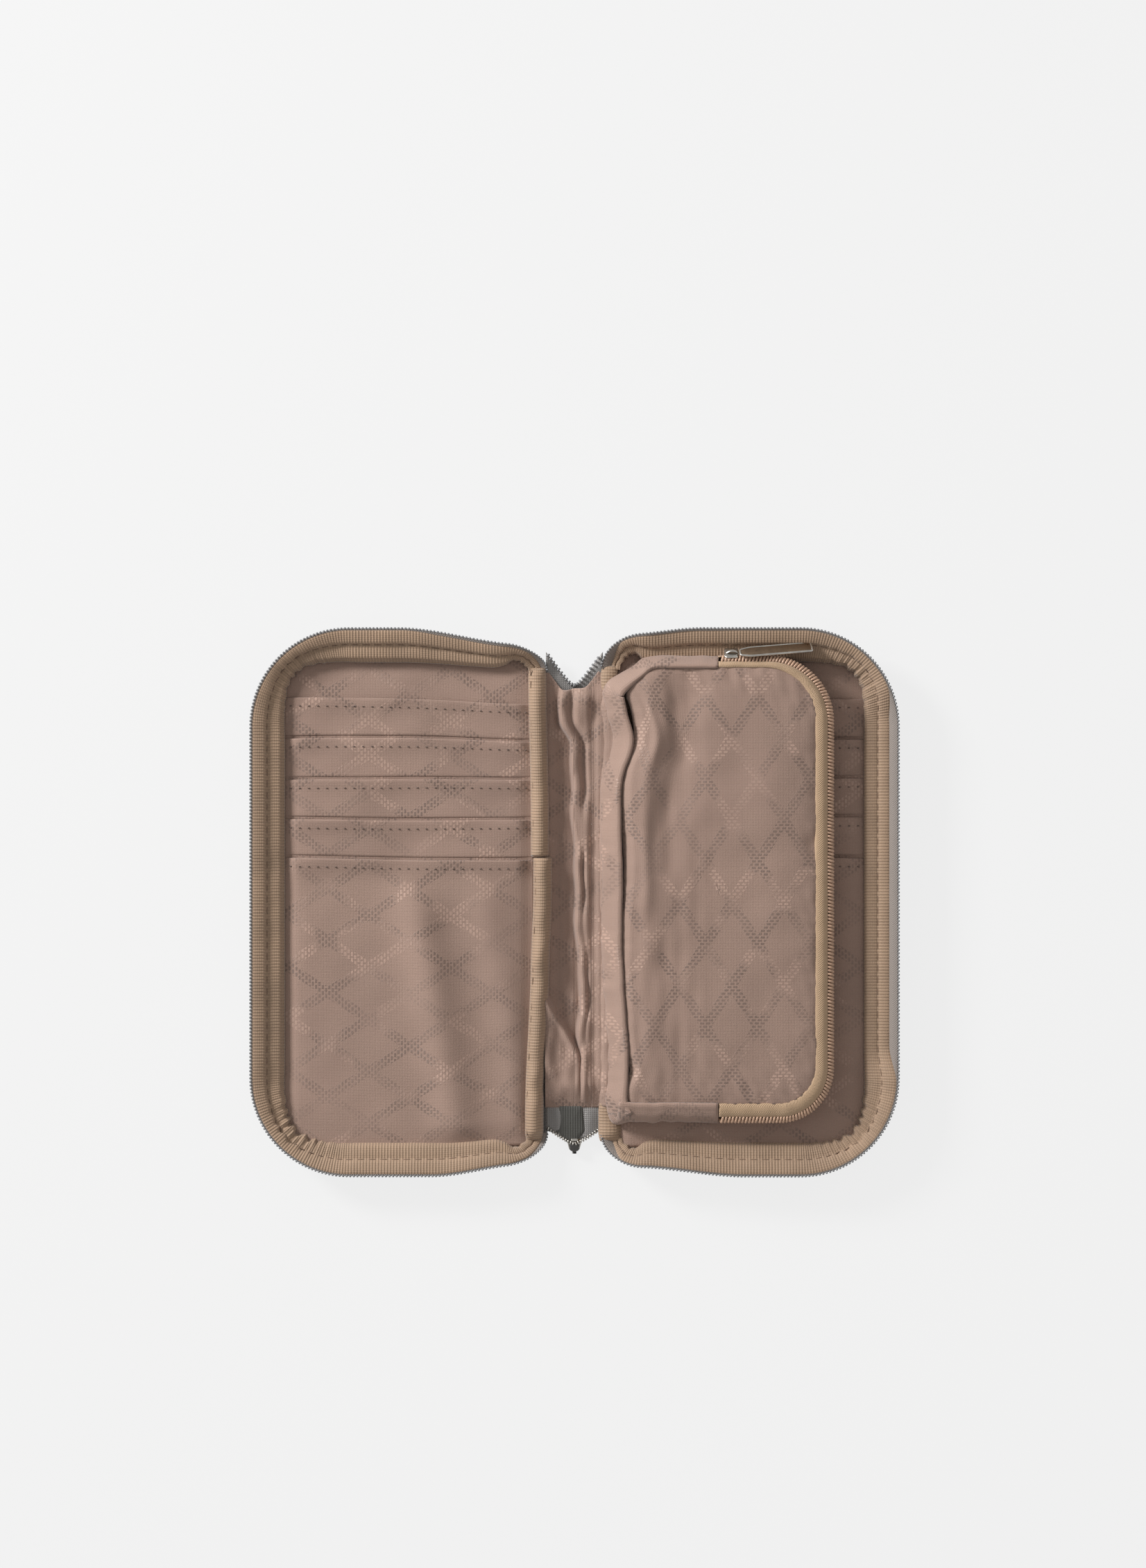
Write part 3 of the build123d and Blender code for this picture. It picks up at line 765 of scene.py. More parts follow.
    # grey zip tape under the binding, and the coil along the rim
    tape_t = np.array([0, 0.5, 1, 1.04, 1, 0.5, 0, -0.03])[None, :]
    tape_side = np.array([0.35, 0.45, 0.35, 0, -0.35, -0.35, -0.35, 0])[None, :]
    tape_reach = 0.75 + tape_t * (outer_column + 0.85)
    tape_top = wall_height(tape_reach, share_column) + tape_side + 0.5 * share_column
    tape_top = np.minimum(tape_top, RIM_TOP * share_column - 0.4)
    tape = sweep(f"{word}_zip_tape", COVER, tape_reach + 0.3 * tape_side, tape_top, side, RIM, settle)
    finish_piece(tape, "grey_tape", body, [f"{word}_main_zip_tape"])

    run, on_rim = rail(COVER, RIM)
    at, inward = on_rim(np.arange(0.6, run, MAIN_TOOTH_PITCH))
    high = RIM_TOP * rim_share(at[:, 0], at[:, 1], side) - 0.45
    outside = np.column_stack([at - inward * 0.05, high])
    inside = np.column_stack([at + inward * 0.75, high - 0.2])
    coil = capsules(f"{word}_zip_teeth", settle(outside), settle(inside), 0.4, 0.1)
    finish_piece(coil, "grey_coil", body, [f"{word}_main_zip_coil"])


STEP_Y = SLOT_TOPS[-1]


def spine_side_binding(name, side, y_low, y_high, middle, width, tall, node, body):
    """Rounded tape that finishes the pockets' ends beside the spine."""
    settle = settle_cover(side)
    y = np.arange(y_low, y_high + 0.01, 0.6)
    y[-1] = y_high
    angle = np.linspace(0, TAU, 20, endpoint=False)
    wide = width(y)[:, None] / 2
    near_step = np.minimum(np.abs(y_low - STEP_Y), np.abs(y_high - STEP_Y)) < 3
    taper = np.where((np.abs(y) < 40) & near_step, 1.2, 5.0)
    end = np.minimum(1, np.sqrt(np.clip(np.minimum(y - y_low, y_high - y) / taper, 0.0, 1)) + 0.15)[:, None]
    x = middle(y)[:, None] + wide * np.cos(angle)[None, :] * (0.75 + 0.25 * end)
    lift = np.maximum(np.sin(angle), 0.25 * np.sin(angle))[None, :]
    z = FLOOR + 0.45 + tall * lift * end * (1 + 0.10 * ripple(y, 0, 14, 40 + int(tall * 7)))[:, None]
    points = np.stack(np.broadcast_arrays(x, y[:, None], z), 2)
    around = np.arange(20) / 20 * (width(y).mean() + 2 * tall)
    points, uv = cap_ends(points, np.stack(np.broadcast_arrays(y[:, None], around[None, :]), 2), 0.02)
    points = settle(points)
    tape = make_mesh(name, points, grid_faces(*points.shape[:2], False, True), uv, flip=side > 0)
    finish_piece(tape, "binding", body, [node])

    def on_edge(at):
        edge = middle(at) + width(at) / 2 - 0.9
        return settle(np.column_stack([edge, at, np.full_like(at, FLOOR + 0.45 + tall * 0.62)]))
    seam_y = np.arange(y_low + 2, y_high - 3, TAPE_PITCH)
    seam = capsules(f"{name}_stitches", on_edge(seam_y), on_edge(seam_y + TAPE_STITCH), 0.19)
    finish_piece(seam, "tan_thread", body)


for cover_word, cover_side in SIDES:
    add_cover(cover_word, cover_side)

spine_side_binding("left_slot_tape", -1, STEP_Y + 0.6, 88.0, lambda y: 12.6 + 0.9 * smooth(y - 30, 55),
                   lambda y: np.full_like(y, 6.6), 4.3, "left_slot_binding", "left_cover")
spine_side_binding("left_pocket_tape", -1, -89.0, STEP_Y + 0.9,
                   lambda y: 11.6 + 0.9 * smooth(4 - y, 30) + 2.2 * smooth(-20 - y, 60),
                   lambda y: np.full_like(y, 6.9), 4.9, "left_pocket_binding", "left_cover")
spine_side_binding("right_slot_tape", 1, -89.0, 87.0, lambda y: np.full_like(y, 12.9),
                   lambda y: 6.6 + 1.8 * smooth(-70 - y, 8), 2.2, "right_slot_binding", "right_cover")


# ---- spine

HEAD_NOTCH, HEAD_RISE = 79.0, 1.40
LINING_TAIL = corner_mm("spine_lining", 0)[1]
SHELL_TAIL = corner_mm("spine_shell", 0)[1]
BASE_Z = corner_mm("spine_shell", 1)[2]


def sink(x, y):
    """How far the slack spine sags below its ends."""
    return 1.4 * smooth(9.5 - np.abs(x), 4) * smooth(y + 72, 14) * smooth(78 - y, 14)


def notch_edge(x):
    """The spine's head edge, a soft V."""
    return HEAD_NOTCH + HEAD_RISE * (np.sqrt(x * x + 4.0) - 2.0)


def bend_spine(piece):
    """Bakes the piece's placement into its mesh."""
    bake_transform(piece)


def spine_relief(x, y):
    """Crumpled lining between the covers: two long ridges, with valleys that wander."""
    run = smooth(y - LINING_TAIL, 9) * smooth(82 - y, 9)
    ridge = 1.6 * smooth(60 - y, 45) + 1.6 * smooth(10 - y, 40) - 3.6 * smooth(y - 57, 9) - 0.9
    ridge = ridge + 0.4 * np.sin(y / 6.5) + 0.3 * np.sin(y / 3.1 + 1)
    flank = smooth(x - ridge + 1.4, 1.9)
    crown = 4.9 + 0.35 * ripple(x, y, 9, 22) - 2.3 * bell(x - ridge - 3.9, 1.5) * smooth(y - 26, 18)
    crease = bell(x - ridge - 2.4, 0.8) * smooth(24 - y, 12)
    crown = crown - 1.5 * crease * (0.6 + 0.4 * np.sin(y / 7.0))
    crown = crown * (1 - 0.42 * smooth(x - 4.0, 4.0)) - 3.6 * bell(x - 1.9, 1.1) * smooth(-50 - y, 7)
    fold = -(y + 33 + 1.7 * (x + 9.9)) / 1.97
    trough = 0.25 * ripple(x, y * 0.5, 6, 21) + 3.0 * smooth(fold / 2.5) + 1.1 * bell(fold - 1.8, 1.5)
    trough = trough + 0.9 * bell(np.hypot((x + 6) / 2.2, (y - 61) / 3))
    return run * np.maximum(flank * crown + (1 - flank) * trough, 0.05) + 0.25 * (1 - run)


def spine_lining(name, inner, outer, columns):
    """One strip of the crumpled lining, from x = inner out to x = outer."""
    x = np.linspace(inner, outer, columns)[:, None]
    t = np.linspace(0, 1, 230)[None, :]
    head = notch_edge(x) - 1.2 - (4.6 if outer < 0 else 3.4) * smooth(np.abs(x) / 5)
    y = LINING_TAIL + (head - LINING_TAIL) * t
    x = np.broadcast_to(x, y.shape)
    z = BASE_Z + 0.55 - sink(x, y) + spine_relief(x, y)
    z = z - 0.5 * smooth(LINING_TAIL + 2.5 - y, 2.5)
    cloth = sheet_grid(name, x, y, z, flip=outer > 0)
    thicken(cloth, THIN_CLOTH)
    finish_piece(cloth, "cover_lining", "spine" if name == "spine_lining_ridge" else None)
    return cloth


RIDGE_END = 6.2
left_half = spine_lining("spine_lining_left_half", 0.0, -10.7, 30)
ridge = spine_lining("spine_lining_ridge", 0.0, RIDGE_END, 20)
right_half = spine_lining("spine_lining_right_half", RIDGE_END, 12.2, 16)
bend_spine(left_half)
bend_spine(right_half)
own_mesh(ridge)
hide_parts("spine_lining")

# spine shell, with its notched head and the flanks that carry the zip round to the covers
for word, side in SIDES:
    x = np.linspace(0, side * 10.4, 16)[:, None]
    t = np.linspace(0, 1, 150)[None, :]
    low = SHELL_TAIL + 0.28 * np.abs(x) * smooth(np.abs(x) - 3, 5)
    y = low + (notch_edge(x) + 0.2 - low) * t
    x = np.broadcast_to(x, y.shape)
    fold = 0.5 * bell(np.abs(x) - 5.5, 2.0) * smooth(LINING_TAIL + 2 - y, 5)
    z = BASE_Z + (fold + 0.12 * ripple(x, y, 9, 51)) * smooth(LINING_TAIL + 1 - y, 2) - 0.1 - sink(x, y)
    z = z + 1.6 * smooth(np.abs(x) - 6, 4) * smooth(y - 80, 8)
    flank = sheet_grid(f"spine_shell_{word}_half", x, y, z, flip=side > 0)
    thicken(flank, 0.5)
    finish_piece(flank, "shell")
    bend_spine(flank)
    if side < 0:
        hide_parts("spine_shell")

# teeth of the main zip down the head notch
notch_x = np.concatenate([np.arange(-9.6, 0, 0.95), np.arange(0.3, 9.7, 0.95)])
slope = HEAD_RISE * notch_x / np.sqrt(notch_x * notch_x + 4.0)
out = np.stack([-slope, np.ones_like(slope)], 1) / np.sqrt(1 + slope ** 2)[:, None]
notch_z = BASE_Z + 1.0 + 1.9 * smooth(np.abs(notch_x) - 5, 5)
root = np.stack([notch_x, notch_edge(notch_x)], 1) - out * 0.7
tip = root + out * 1.5
for word, side in SIDES:
    pick = notch_x * side > 0
    teeth = capsules(f"notch_teeth_{word}", np.column_stack([root, notch_z])[pick],
                     np.column_stack([tip, notch_z])[pick], 0.42, 0.2)
    finish_piece(teeth, "grey_coil")
    bend_spine(teeth)
    if side < 0:
        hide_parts("main_coil_head_end")


# ---- plates, for the metal parts and the tab

PLATE_STEP = 0.35
BRIDGE_WIDTH = 1.5


def plate(name, corners, low, high, bevel, place, step=PLATE_STEP, crown=0.0):
    """Rounded flat plate with bevelled edges: rings of points from the underside's hub to the top's."""
    route = Route(corners, step)
    middle = route.p.mean(axis=0)
    rings = [(share, bevel, low) for share in (0.02, 0.6, 1.0)]
    rings += [(1.0, 0, low + bevel * 0.7), (1.0, 0, high - bevel * 0.7)]
    rings += [(share, bevel, high + crown * (1 - share ** 2)) for share in (1.0, 0.8, 0.5, 0.2, 0.02)]
    rows = np.stack([np.column_stack([middle + (route.p + route.n * inset - middle) * share,
                                      np.full(route.count, z)]) for share, inset, z in rings])
    return make_mesh(name, place(rows), grid_faces(*rows.shape[:2], False, True), rows[..., :2], flip=True)


def rim_tube(name, corners, width, low, high, place):
    """Raised rim that runs round a plate's edge."""
    route = Route(corners, PLATE_STEP)
    angle = np.linspace(0, TAU, 12, endpoint=False)
    inset = width / 2 + width / 2 * np.cos(angle) * np.abs(np.cos(angle)) ** -0.25
    z = (low + high) / 2 + (high - low) / 2 * np.sin(angle) * np.abs(np.sin(angle) + 1e-9) ** -0.25
    inset, z = np.broadcast_to(inset, (route.count, 12)), np.broadcast_to(z, (route.count, 12))
    points = np.concatenate([route.at(inset), z[:, :, None]], 2)
    return make_mesh(name, place(points), grid_faces(route.count, 12, True, True), points[..., :2])


# dark end tab, tail coil ends, stop and main slider
tab_corners = [(-6.0, SHELL_TAIL + 1.9, 1.2), (-1.2, SHELL_TAIL - 1.6, 1.4), (1.2, SHELL_TAIL - 1.6, 1.4),
               (5.0, SHELL_TAIL + 3.0, 1.6), (3.9, LINING_TAIL + 0.6, 0.6), (-4.6, LINING_TAIL + 0.6, 0.6)]
tab = plate("zip_end_tab", tab_corners, BASE_Z, BASE_Z + 0.75, 0.3, lambda p: p + [-1.0, 0, 0], 0.5, 0.35)
finish_piece(tab, "tab", "spine", ["main_zip_end_tab"])

for word, side in SIDES:
    reach = np.arange(0.5, 9.6, 0.9)
    line = np.stack([side * reach, SHELL_TAIL - 2.0 + 0.42 * reach + 0.02 * reach ** 2], 1)
    across = np.array([side * -0.42, 1.0]) / math.hypot(0.42, 1)
    z = np.full(len(line), BASE_Z + 0.75)[:, None]
    teeth = capsules(f"tail_teeth_{word}", np.hstack([line - across * 0.7, z]),
                     np.hstack([line + across * 0.7, z]), 0.36, 0.15)
    finish_piece(teeth, "nickel")
    bend_spine(teeth)
    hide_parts(f"{word}_coil_tail_end")

stop = plate("zip_stop", [(-1.3, -87.4, 0.4), (1.3, -87.4, 0.4), (1.3, -86.4, 0.4), (-1.3, -86.4, 0.4)],
             BASE_Z, BASE_Z + 0.9, 0.15, unmoved, 0.3)
finish_piece(stop, "nickel", "spine", ["main_zip_stop"])

SLIDER_Y = corner_mm("main_slider", 0)[1] + 2.2
slider_corners = [(-2.9, -2.0, 1.2), (-1.9, -3.0, 0.8), (1.9, -3.0, 0.8), (2.9, -2.0, 1.2), (2.6, 2.1, 0.5),
                  (-2.6, 2.1, 0.5)]
small_corners = [(0.6 * x, 0.5 * y + 0.5, 0.5 * r) for x, y, r in slider_corners]


def at_main(points):
    return points + [0, SLIDER_Y, 0]


def loop_points(length, tall, thick):
    """Arched bridge over a slider, which the puller hangs from."""
    rows, sides = 22, 10
    t = np.linspace(0, 1, rows)
    x = length * (t - 0.5)
    z = tall * np.sin(np.pi * np.clip(t, 0.03, 0.97)) ** 0.6
    angle = np.arange(sides) * TAU / sides
    dx, dz = np.gradient(x), np.gradient(z)
    size = np.hypot(dx, dz)
    nx, nz = -dz / size, dx / size
    points = np.zeros((rows, sides, 3))
    points[:, :, 0] = BRIDGE_WIDTH / 2 * np.cos(angle)
    points[:, :, 1] = x[:, None] + nx[:, None] * thick / 2 * np.sin(angle)
    points[:, :, 2] = z[:, None] + nz[:, None] * thick / 2 * np.sin(angle)
    return points


def add_slider(body, alloy, place, lower, upper, post_y, post_z, arch):
    """Slider: two plates, each given as corners, low, high, bevel and crown, with a post and a bridge."""
    for word, (corners, low, high, bevel, crown) in (("lower", lower), ("upper", upper)):
        piece = plate(f"{body}_{word}", corners, low, high, bevel, place, crown=crown)
        finish_piece(piece, alloy, body, [body] if word == "upper" else ())
    (tail, head), half = post_y, 0.8
    post_corners = [(-half, tail, 0.3), (half, tail, 0.3), (half, head, 0.3), (-half, head, 0.3)]
    post = plate(f"{body}_post", post_corners, *post_z, 0.1, place)
    bridge = make_mesh(f"{body}_bridge", place(arch), grid_faces(*arch.shape[:2], False, True))
    for piece in (post, bridge):
        finish_piece(piece, alloy, body)


MAIN_LOW, MAIN_HIGH = corner_mm("main_slider", 0)[2], corner_mm("main_slider", 1)[2]
add_slider("main_slider", "gunmetal", at_main, (small_corners, MAIN_LOW, MAIN_LOW + 0.45, 0.16, 0.08),
           (small_corners, MAIN_HIGH - 0.45, MAIN_HIGH + 0.05, 0.16, 0.08),
           (-1.4, 0.4), (MAIN_LOW + 0.3, MAIN_HIGH - 0.3),
           loop_points(4.0, 1.0, 0.4) * [1, -1, -1] + [0, 0, MAIN_LOW + 0.15])


def mirrored(half):
    """Outline corners from the ones on its low side."""
    return half + [(x, -y, r) for x, y, r in reversed(half)]


def add_puller(body, place, thick):
    """Flat puller: bright raised rim round a darker plain face."""
    rim = rim_tube(f"{body}_plate_rim", mirrored([(0, -1.8, 1.2), (4.0, -2.8, 1.5), (27.0, -2.8, 0.9)]),
                   0.75, 0.0, thick, place)
    face = plate(f"{body}_plate_face", mirrored([(0.5, -1.5, 0.9), (4.2, -2.4, 1.3), (26.6, -2.4, 0.6)]),
                 thick * 0.22, thick * 0.72, 0.1, place)
    finish_piece(rim, "nickel", body, [body])
    finish_piece(face, "brass", body)


def at_main_puller(points):
    return points[..., [1, 0, 2]] * [-1, 1, 1] + [0, *corner_mm("main_puller", 0)[1:]]


add_puller("main_puller", at_main_puller, 0.6)


# ---- pouch

P_LEFT = corner_mm("pouch_back", 0)[0]
P_TAIL, P_HEAD = corner_mm("pouch_lower_coil", 0)[1], corner_mm("pouch_lower_coil", 1)[1]
P_RIGHT = corner_mm("pouch_lower_coil", 1)[0]
P_BASE = corner_mm("pouch_back", 0)[2]
P_TOP = corner_mm("pouch_front", 0)[2]
F_LEFT, F_TAIL = corner_mm("pouch_front", 0)[0], corner_mm("pouch_front", 0)[1]
F_HEAD, F_RIGHT = corner_mm("pouch_front", 1)[1], corner_mm("pouch_flap", 1)[0]
ZIP_WALL = 8.0
LOWER_COIL_Z = corner_mm("pouch_lower_coil", 0)[2] + 0.35
UPPER_COIL_Z = corner_mm("pouch_upper_coil", 0)[2] + 0.35

POUCH = Route([(P_LEFT, P_TAIL, 3.0), (P_RIGHT, P_TAIL, 20.0), (P_RIGHT, P_HEAD, 24.0),
               (P_LEFT + 14.5, P_HEAD, 8.0), (P_LEFT, P_HEAD - 12.5, 6.0)], ROUTE_STEP)
FRONT = Route([(F_LEFT, F_TAIL, 3.0), (F_RIGHT, F_TAIL, 14.0), (F_RIGHT, F_HEAD, 19.0),
               (F_LEFT + 11.5, F_HEAD, 7.0), (F_LEFT, F_HEAD - 10.5, 5.0)], ROUTE_STEP)
gap = np.linalg.norm(POUCH.p[:, None, :] - FRONT.p[None, :, :], axis=2).min(axis=1)
ZIPPED = POUCH.p[:, 0] > ZIP_START


def pouch_sway(points):
    """The slack left side of the pouch: its seam wanders, and tucks in near the tail."""
    x, y = points[..., 0], points[..., 1]
    near = smooth(46 - x, 28)
    shift = 3.6 * bell(y - 58, 9) + 1.9 * smooth(-34 - y, 28) + 0.5 * np.sin(y / 9.0)
    shift = shift - 1.0 * bell(y - 20, 22) - 1.6 * bell(y - 81, 6)
    moved = points.copy()
    moved[..., 0] = x + near * shift
    return moved


def front_sway(points):
    """As the pouch sways, but the front also gapes away from its left seam near the head."""
    x, y = points[..., 0], points[..., 1]
    moved = pouch_sway(points)
    gape = 2.9 * bell(y - 69, 10) + 1.7 * bell(y - 17, 20) + 1.9 * bell(y + 61, 4) - 0.45
    moved[..., 0] += gape * smooth(F_LEFT + 13 - x, 11)
    return moved


def front_height(x, y, r):
    """Front of the pouch: a low pillow with slack folds down its left side and a tight seam."""
    dome = 0.9 * (1 - r ** 3) + 0.9 * (1 - r ** 26) - 0.7 - 1.3 * smooth(F_LEFT + 4 - x, 4.5)
    slack = smooth(60 - x, 35)
    slope = 1.9 * bell(x - 27 - 0.05 * (y - 40), 6) * smooth(y + 10, 50)
    hollow = -2.4 * bell(x - 38 - 0.10 * (y - 60), 8) * smooth(y - 5, 50)
    low_fold = 0.8 * bell(x - 27, 5) * bell(y + 20, 40)
    tuck = 0.9 * bell(np.hypot(x - 24, (y - 14) / 2.5) / 7) - 0.7 * bell(np.hypot(x - 33, (y - 22) / 2.2) / 7)
    dimple = -0.8 * bell(np.hypot(x - F_RIGHT + 1, y - 21) / 4)
    wave = 0.30 * ripple(x, y, 48, 61) + 0.12 * ripple(x, y, 20, 62)
    inner = 1 - r ** 10
    fold = slack * (slope + low_fold + tuck) + hollow
    crease = 0.16 * slack * ripple(x * 1.6, y * 0.5, 9, 63)
    pucker = 0.16 * ripple(x, y, 5.5, 64) * r ** 8
    return P_TOP + dome + inner * (fold + wave + crease + 0.3) + dimple + pucker


def bend_flap(piece):
    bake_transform(piece)


front = fan("pouch_front_cloth", FRONT, -0.5, front_height, 90, 1, front_sway, 0.9)
thicken(front, POUCH_CLOTH)
finish_piece(front, "pouch_lining", replaces=["pouch_front", "pouch_flap"])

seam_at = np.arange(0, FRONT.count, 4)
gaping = (FRONT.p[seam_at, 0] < F_LEFT + 6) & (FRONT.p[seam_at, 1] > 50)
seam_at = seam_at[~gaping]
seam_to = (seam_at + 2) % FRONT.count


def on_seam(i):
    xy = FRONT.p[i] + FRONT.n[i] * 0.35
    z = front_height(xy[:, 0], xy[:, 1], np.full(len(xy), 0.985)) + 0.05
    return front_sway(np.column_stack([xy, z]))


front_seam = capsules("pouch_front_stitches", on_seam(seam_at), on_seam(seam_to), 0.15, 0.03)
finish_piece(front_seam, "mauve_thread")
for piece in (front, front_seam):
    bend_flap(piece)

# gusset: side walls of the pouch, and under the zip only their lower part
gx, gy = POUCH.p[:, 0], POUCH.p[:, 1]
left_side = smooth(P_LEFT + 9 - gx, 8)
tail_side = smooth(P_TAIL + 9 - gy, 8) * (1 - left_side)
fall = (1.0 - 0.35 * left_side + 1.3 * tail_side)[:, None]
u = np.linspace(0, 1, 16)[None, :]
seam_inset = (gap + 0.55)[:, None]
bow = 0.5 + 0.25 * ripple(gx, gy, 17, 71)[:, None] + 1.6 * left_side[:, None]
plain_inset = seam_inset * (1 - smooth(u * 1.25)) + 1.2 * u - bow * np.sin(np.pi * (u * 0.92 + 0.05))
roll = 0.55 * np.sin(np.pi * np.clip(u / 0.3, 0, 1))
plain_z = P_TOP - 0.35 + roll - (P_TOP - P_BASE - 0.3) * smooth(u - 0.10, 0.9) ** fall
pinch = 0.22 * ripple(gx, gy, 6, 72)[:, None] * np.sin(np.pi * u)
zip_inset = 0.7 + 0.5 * u - 0.5 * np.sin(np.pi * u)
zip_z = ZIP_WALL - (ZIP_WALL - P_BASE - 0.2) * u
is_zip = ZIPPED[:, None]
inset = np.where(is_zip, zip_inset, plain_inset + pinch)
z = np.where(is_zip, zip_z, plain_z + 0.6 * pinch)
gusset = sweep("pouch_gusset_cloth", POUCH, inset, z, settle=pouch_sway)
thicken(gusset, POUCH_CLOTH)
finish_piece(gusset, "cover_lining", "pouch", ["pouch_gusset"])

back = fan("pouch_back_cloth", POUCH, 1.4, lambda x, y, r: P_BASE + 0.35 + 0.08 * ripple(x, y, 30, 73), 40)
thicken(back, 0.35)
finish_piece(back, "pouch_lining", "pouch", ["pouch_back"])

# zip tapes: the upper one rolls over between the front's seam and the coil
t = np.linspace(0, 1, 13)[None, :]
ones = np.ones((POUCH.count, 1))
over = (gap + 0.75)[:, None]
tape_wave = 0.10 * ripple(gx, gy, 11, 74)[:, None]
bright_inset = over + (2.35 - over) * t
bright_z = P_TOP - 0.7 + (1.0 + tape_wave) * np.sin(np.pi * np.clip(t * 0.86, 0, 1)) ** 0.3 - 1.3 * t ** 3
dull_t = np.linspace(1, 0, 6)[None, :]
under_inset = over + (2.4 - over) * dull_t
under_z = ones * (P_TOP - 0.8 + 0.9 * np.sin(np.pi * dull_t) - 1.9 * dull_t ** 2.2)
upper_tape = sweep("pouch_upper_tape_cloth", POUCH, np.hstack([bright_inset, under_inset]),
                   np.hstack([bright_z, under_z]), 1, ZIPPED, pouch_sway)
finish_piece(upper_tape, "tan_tape", replaces=["pouch_upper_tape", "flap_zip_tape"])

low_inset, low_z = np.array([[0.75, 10.3], [0.35, 10.0], [0.2, 8.6], [0.2, 7.5], [0.7, 7.3], [0.85, 8.6]]).T
lower_tape = sweep("pouch_lower_tape_cloth", POUCH, ones * low_inset, ones * low_z, 1, ZIPPED)
finish_piece(lower_tape, "tan_tape", "pouch", ["pouch_lower_tape"])


def coil_row(name, z, inset_out, inset_in, slant, radius, rise):
    """Teeth of the pouch's zip, from inset_out to inset_in, slanted along the zip and rising inwards."""
    run, on_zip = rail(POUCH, ZIPPED)
    s = np.arange(0.8, run - 1.0, POUCH_TOOTH_PITCH)

    def at(distance, inset, height):
        xy, inward = on_zip(distance)
        return np.column_stack([xy + inward * inset, np.full(len(s), height)])
    return capsules(name, at(s, inset_out, z), at(s + slant, inset_in, z + rise), radius, 0.1)


upper_coil = coil_row("pouch_upper_coil_teeth", UPPER_COIL_Z + 1.9, 0.0, 2.6, 0.8, 0.5, 0.9)
finish_piece(upper_coil, "brown_coil", replaces=["pouch_upper_coil", "flap_zip_coil"])
lower_coil = coil_row("pouch_lower_coil_teeth", LOWER_COIL_Z + 1.1, 0.15, 1.8, -0.6, 0.45, 0.3)
finish_piece(lower_coil, "brown_coil", "pouch", ["pouch_lower_coil"])
for piece in (upper_tape, upper_coil):
    bend_flap(piece)

# cloth from the spine up to the pouch's left side
x_run = np.linspace(0, 1, 18)[:, None]
y_run = np.linspace(-74.6, 76.5, 190)[None, :]
low_x, high_x = 8.2, 13.6
follow = pouch_sway(np.stack([np.full_like(y_run, high_x), y_run], 2))[..., 0] - high_x
x = low_x + (high_x + 0.6 - low_x + follow) * x_run
ends = smooth(y_run + 75, 6) * smooth(77 - y_run, 6)
z = 4.3 + 3.4 * smooth(x_run) + ends * (1.3 * bell(x_run - 0.35, 0.28) * (1 + 0.3 * np.sin(y_run / 11.0)))
z = z + 0.18 * ripple(x, y_run, 8, 75) - 1.2 * (1 - smooth(x_run * 4))
skirt = sheet_grid("pouch_seam_cloth", x, y_run, z)
thicken(skirt, THIN_CLOTH)
finish_piece(skirt, "cover_lining", replaces=["pouch_seam_tape"])
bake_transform(skirt)

# pouch slider and puller, leaning out on the head side's zip
TILT = math.radians(50)
PIVOT = np.array([57.6, 89.9, 10.1])


def lean(points):
    y = points[..., 1] * math.cos(TILT) + points[..., 2] * math.sin(TILT)
    z = -points[..., 1] * math.sin(TILT) + points[..., 2] * math.cos(TILT)
    return np.stack([points[..., 0], y, z], -1)


def at_pouch_slider(points):
    return lean(points[..., [1, 0, 2]] * [1, -1, 1]) + PIVOT + [-0.2, -0.9, 0.3]


def at_pouch_puller(points):
    swing = math.radians(7.5)
    x = points[..., 0] * math.cos(swing) - points[..., 1] * math.sin(swing)
    y = points[..., 0] * math.sin(swing) + points[..., 1] * math.cos(swing)
    return lean(np.stack([x + 2.2, y - 2.0, points[..., 2] + 2.6], -1)) + PIVOT + [0, -0.2, 0.1]


add_slider("pouch_slider", "nickel", at_pouch_slider, (slider_corners, -0.6, -0.15, 0.18, 0.0),
           (slider_corners, 1.8, 2.3, 0.22, 0.1), (-0.2, 1.8), (-0.3, 2.0),
           loop_points(4.4, 1.15, 0.5) * [-1, 1, 1] + [0, 0, 2.15])
add_puller("pouch_puller", at_pouch_puller, 0.8)


# ---- floor, camera, light

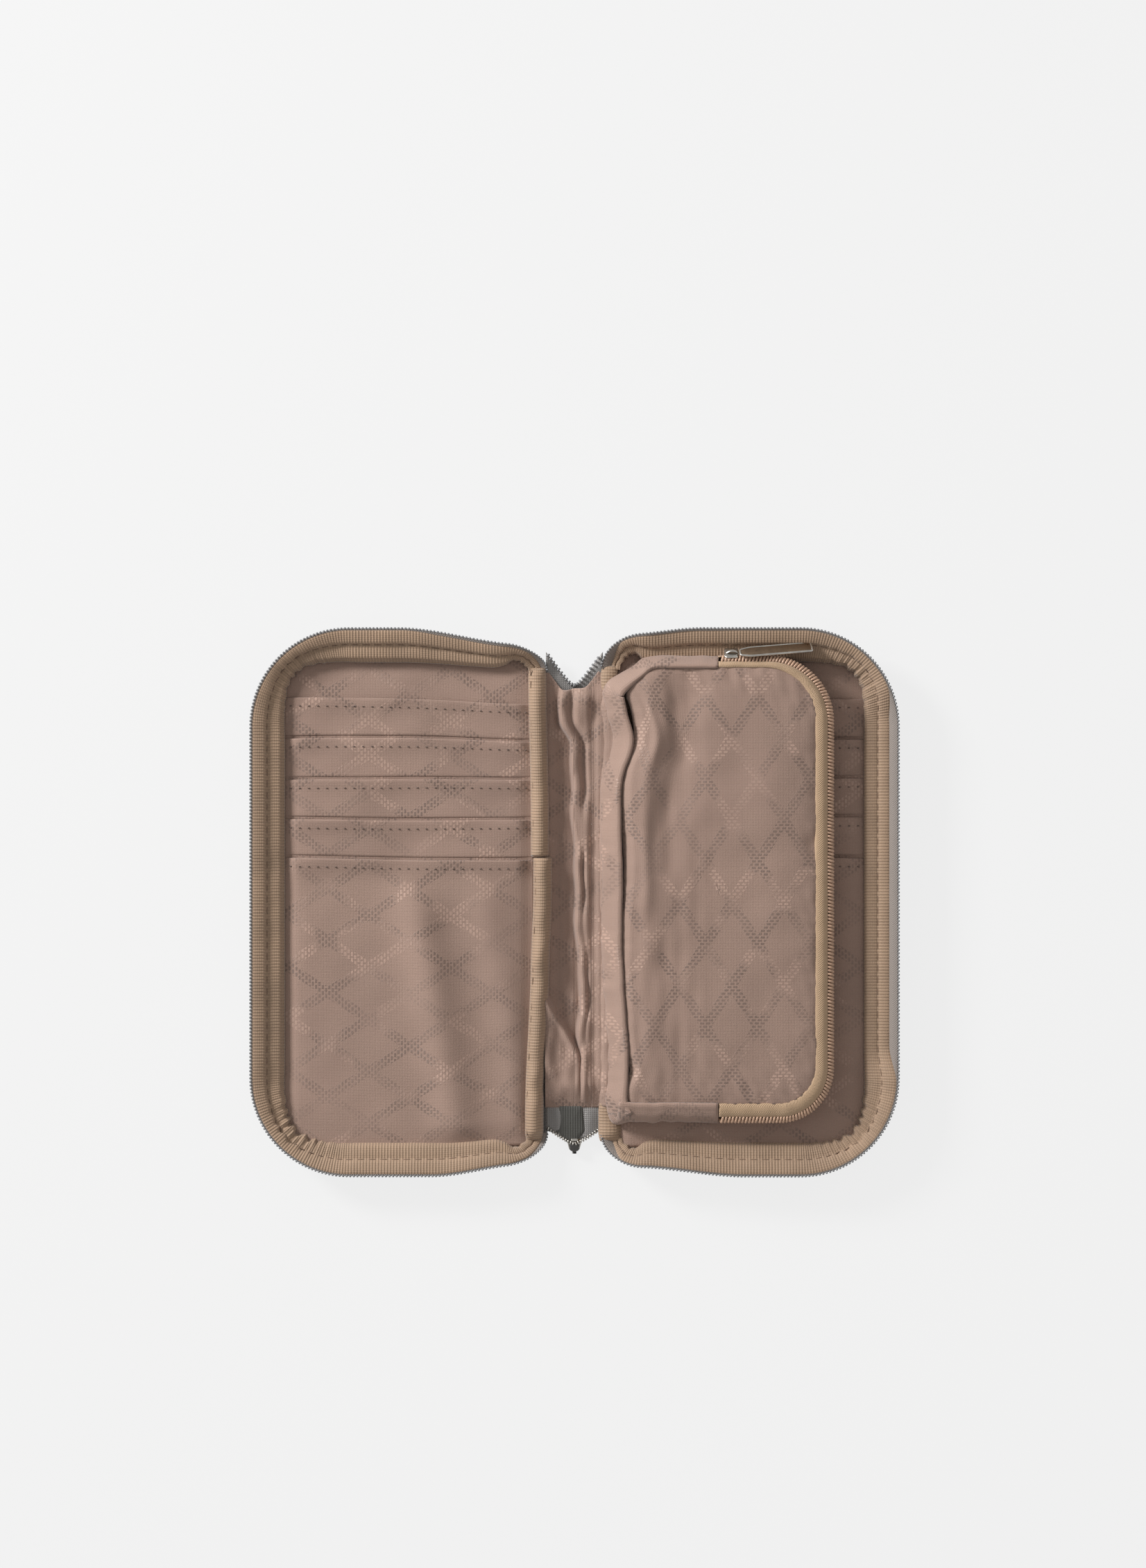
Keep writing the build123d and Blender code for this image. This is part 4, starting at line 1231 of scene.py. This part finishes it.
floor_shader = Shader("floor", (0.88, 0.88, 0.88), 0.9)
floor_shader.bsdf.inputs["Emission Color"].default_value = (1, 1, 1, 1)
floor_shader.bsdf.inputs["Emission Strength"].default_value = 0.80
floor_shader.bsdf.inputs["Base Color"].default_value = (0.085, 0.085, 0.085, 1)
floor_shader.bsdf.inputs["Specular IOR Level"].default_value = 0.0
FLOOR_REACH, FLOOR_Z = 4000, -0.35
floor_corners = [[x * FLOOR_REACH, y * FLOOR_REACH, FLOOR_Z] for x, y in ((-1, -1), (1, -1), (1, 1), (-1, 1))]
floor = make_mesh("floor", floor_corners, [[0, 1, 2, 3]])
floor.data.materials.append(floor_shader.material)


def aim(item, place, target, up=(0, 1, 0)):
    """Points a camera or light, which look along their own -Z, at the target."""
    back = unit(np.array(place, float) - np.array(target, float))
    right = unit(np.cross(up, back))
    top = np.cross(back, right)
    matrix = np.eye(4)
    matrix[:3, 0], matrix[:3, 1], matrix[:3, 2] = right, top, back
    matrix[:3, 3] = np.array(place) * MM
    item.matrix_world = Matrix(matrix.tolist())


key_data = bpy.data.lights.new("key", "AREA")
key_data.shape = "SQUARE"
key_data.size = 420 * MM
key_data.energy = 38
key = bpy.data.objects.new("key", key_data)
bpy.context.scene.collection.objects.link(key)
aim(key, (-1280, 900, 715), (0, 0, 0))

world = bpy.data.worlds.new("studio")
bpy.context.scene.world = world
world.use_nodes = True
background = world.node_tree.nodes["Background"].inputs
background["Color"].default_value = (1, 0.99, 0.98, 1)
background["Strength"].default_value = 0.49

FRAME_HEIGHT, DISTANCE, SENSOR = 570.9, 2000.0, 36.0
LOOK_X, LOOK_Y = -0.5, 43.0
camera_data = bpy.data.cameras.new("camera")
camera_data.sensor_width = SENSOR
camera_data.sensor_fit = "AUTO"
camera_data.lens = SENSOR * DISTANCE / FRAME_HEIGHT
camera = bpy.data.objects.new("camera", camera_data)
bpy.context.scene.collection.objects.link(camera)
aim(camera, (LOOK_X, LOOK_Y, DISTANCE + 8), (LOOK_X, LOOK_Y, 0))
bpy.context.scene.camera = camera
bpy.context.scene.view_settings.view_transform = "Standard"
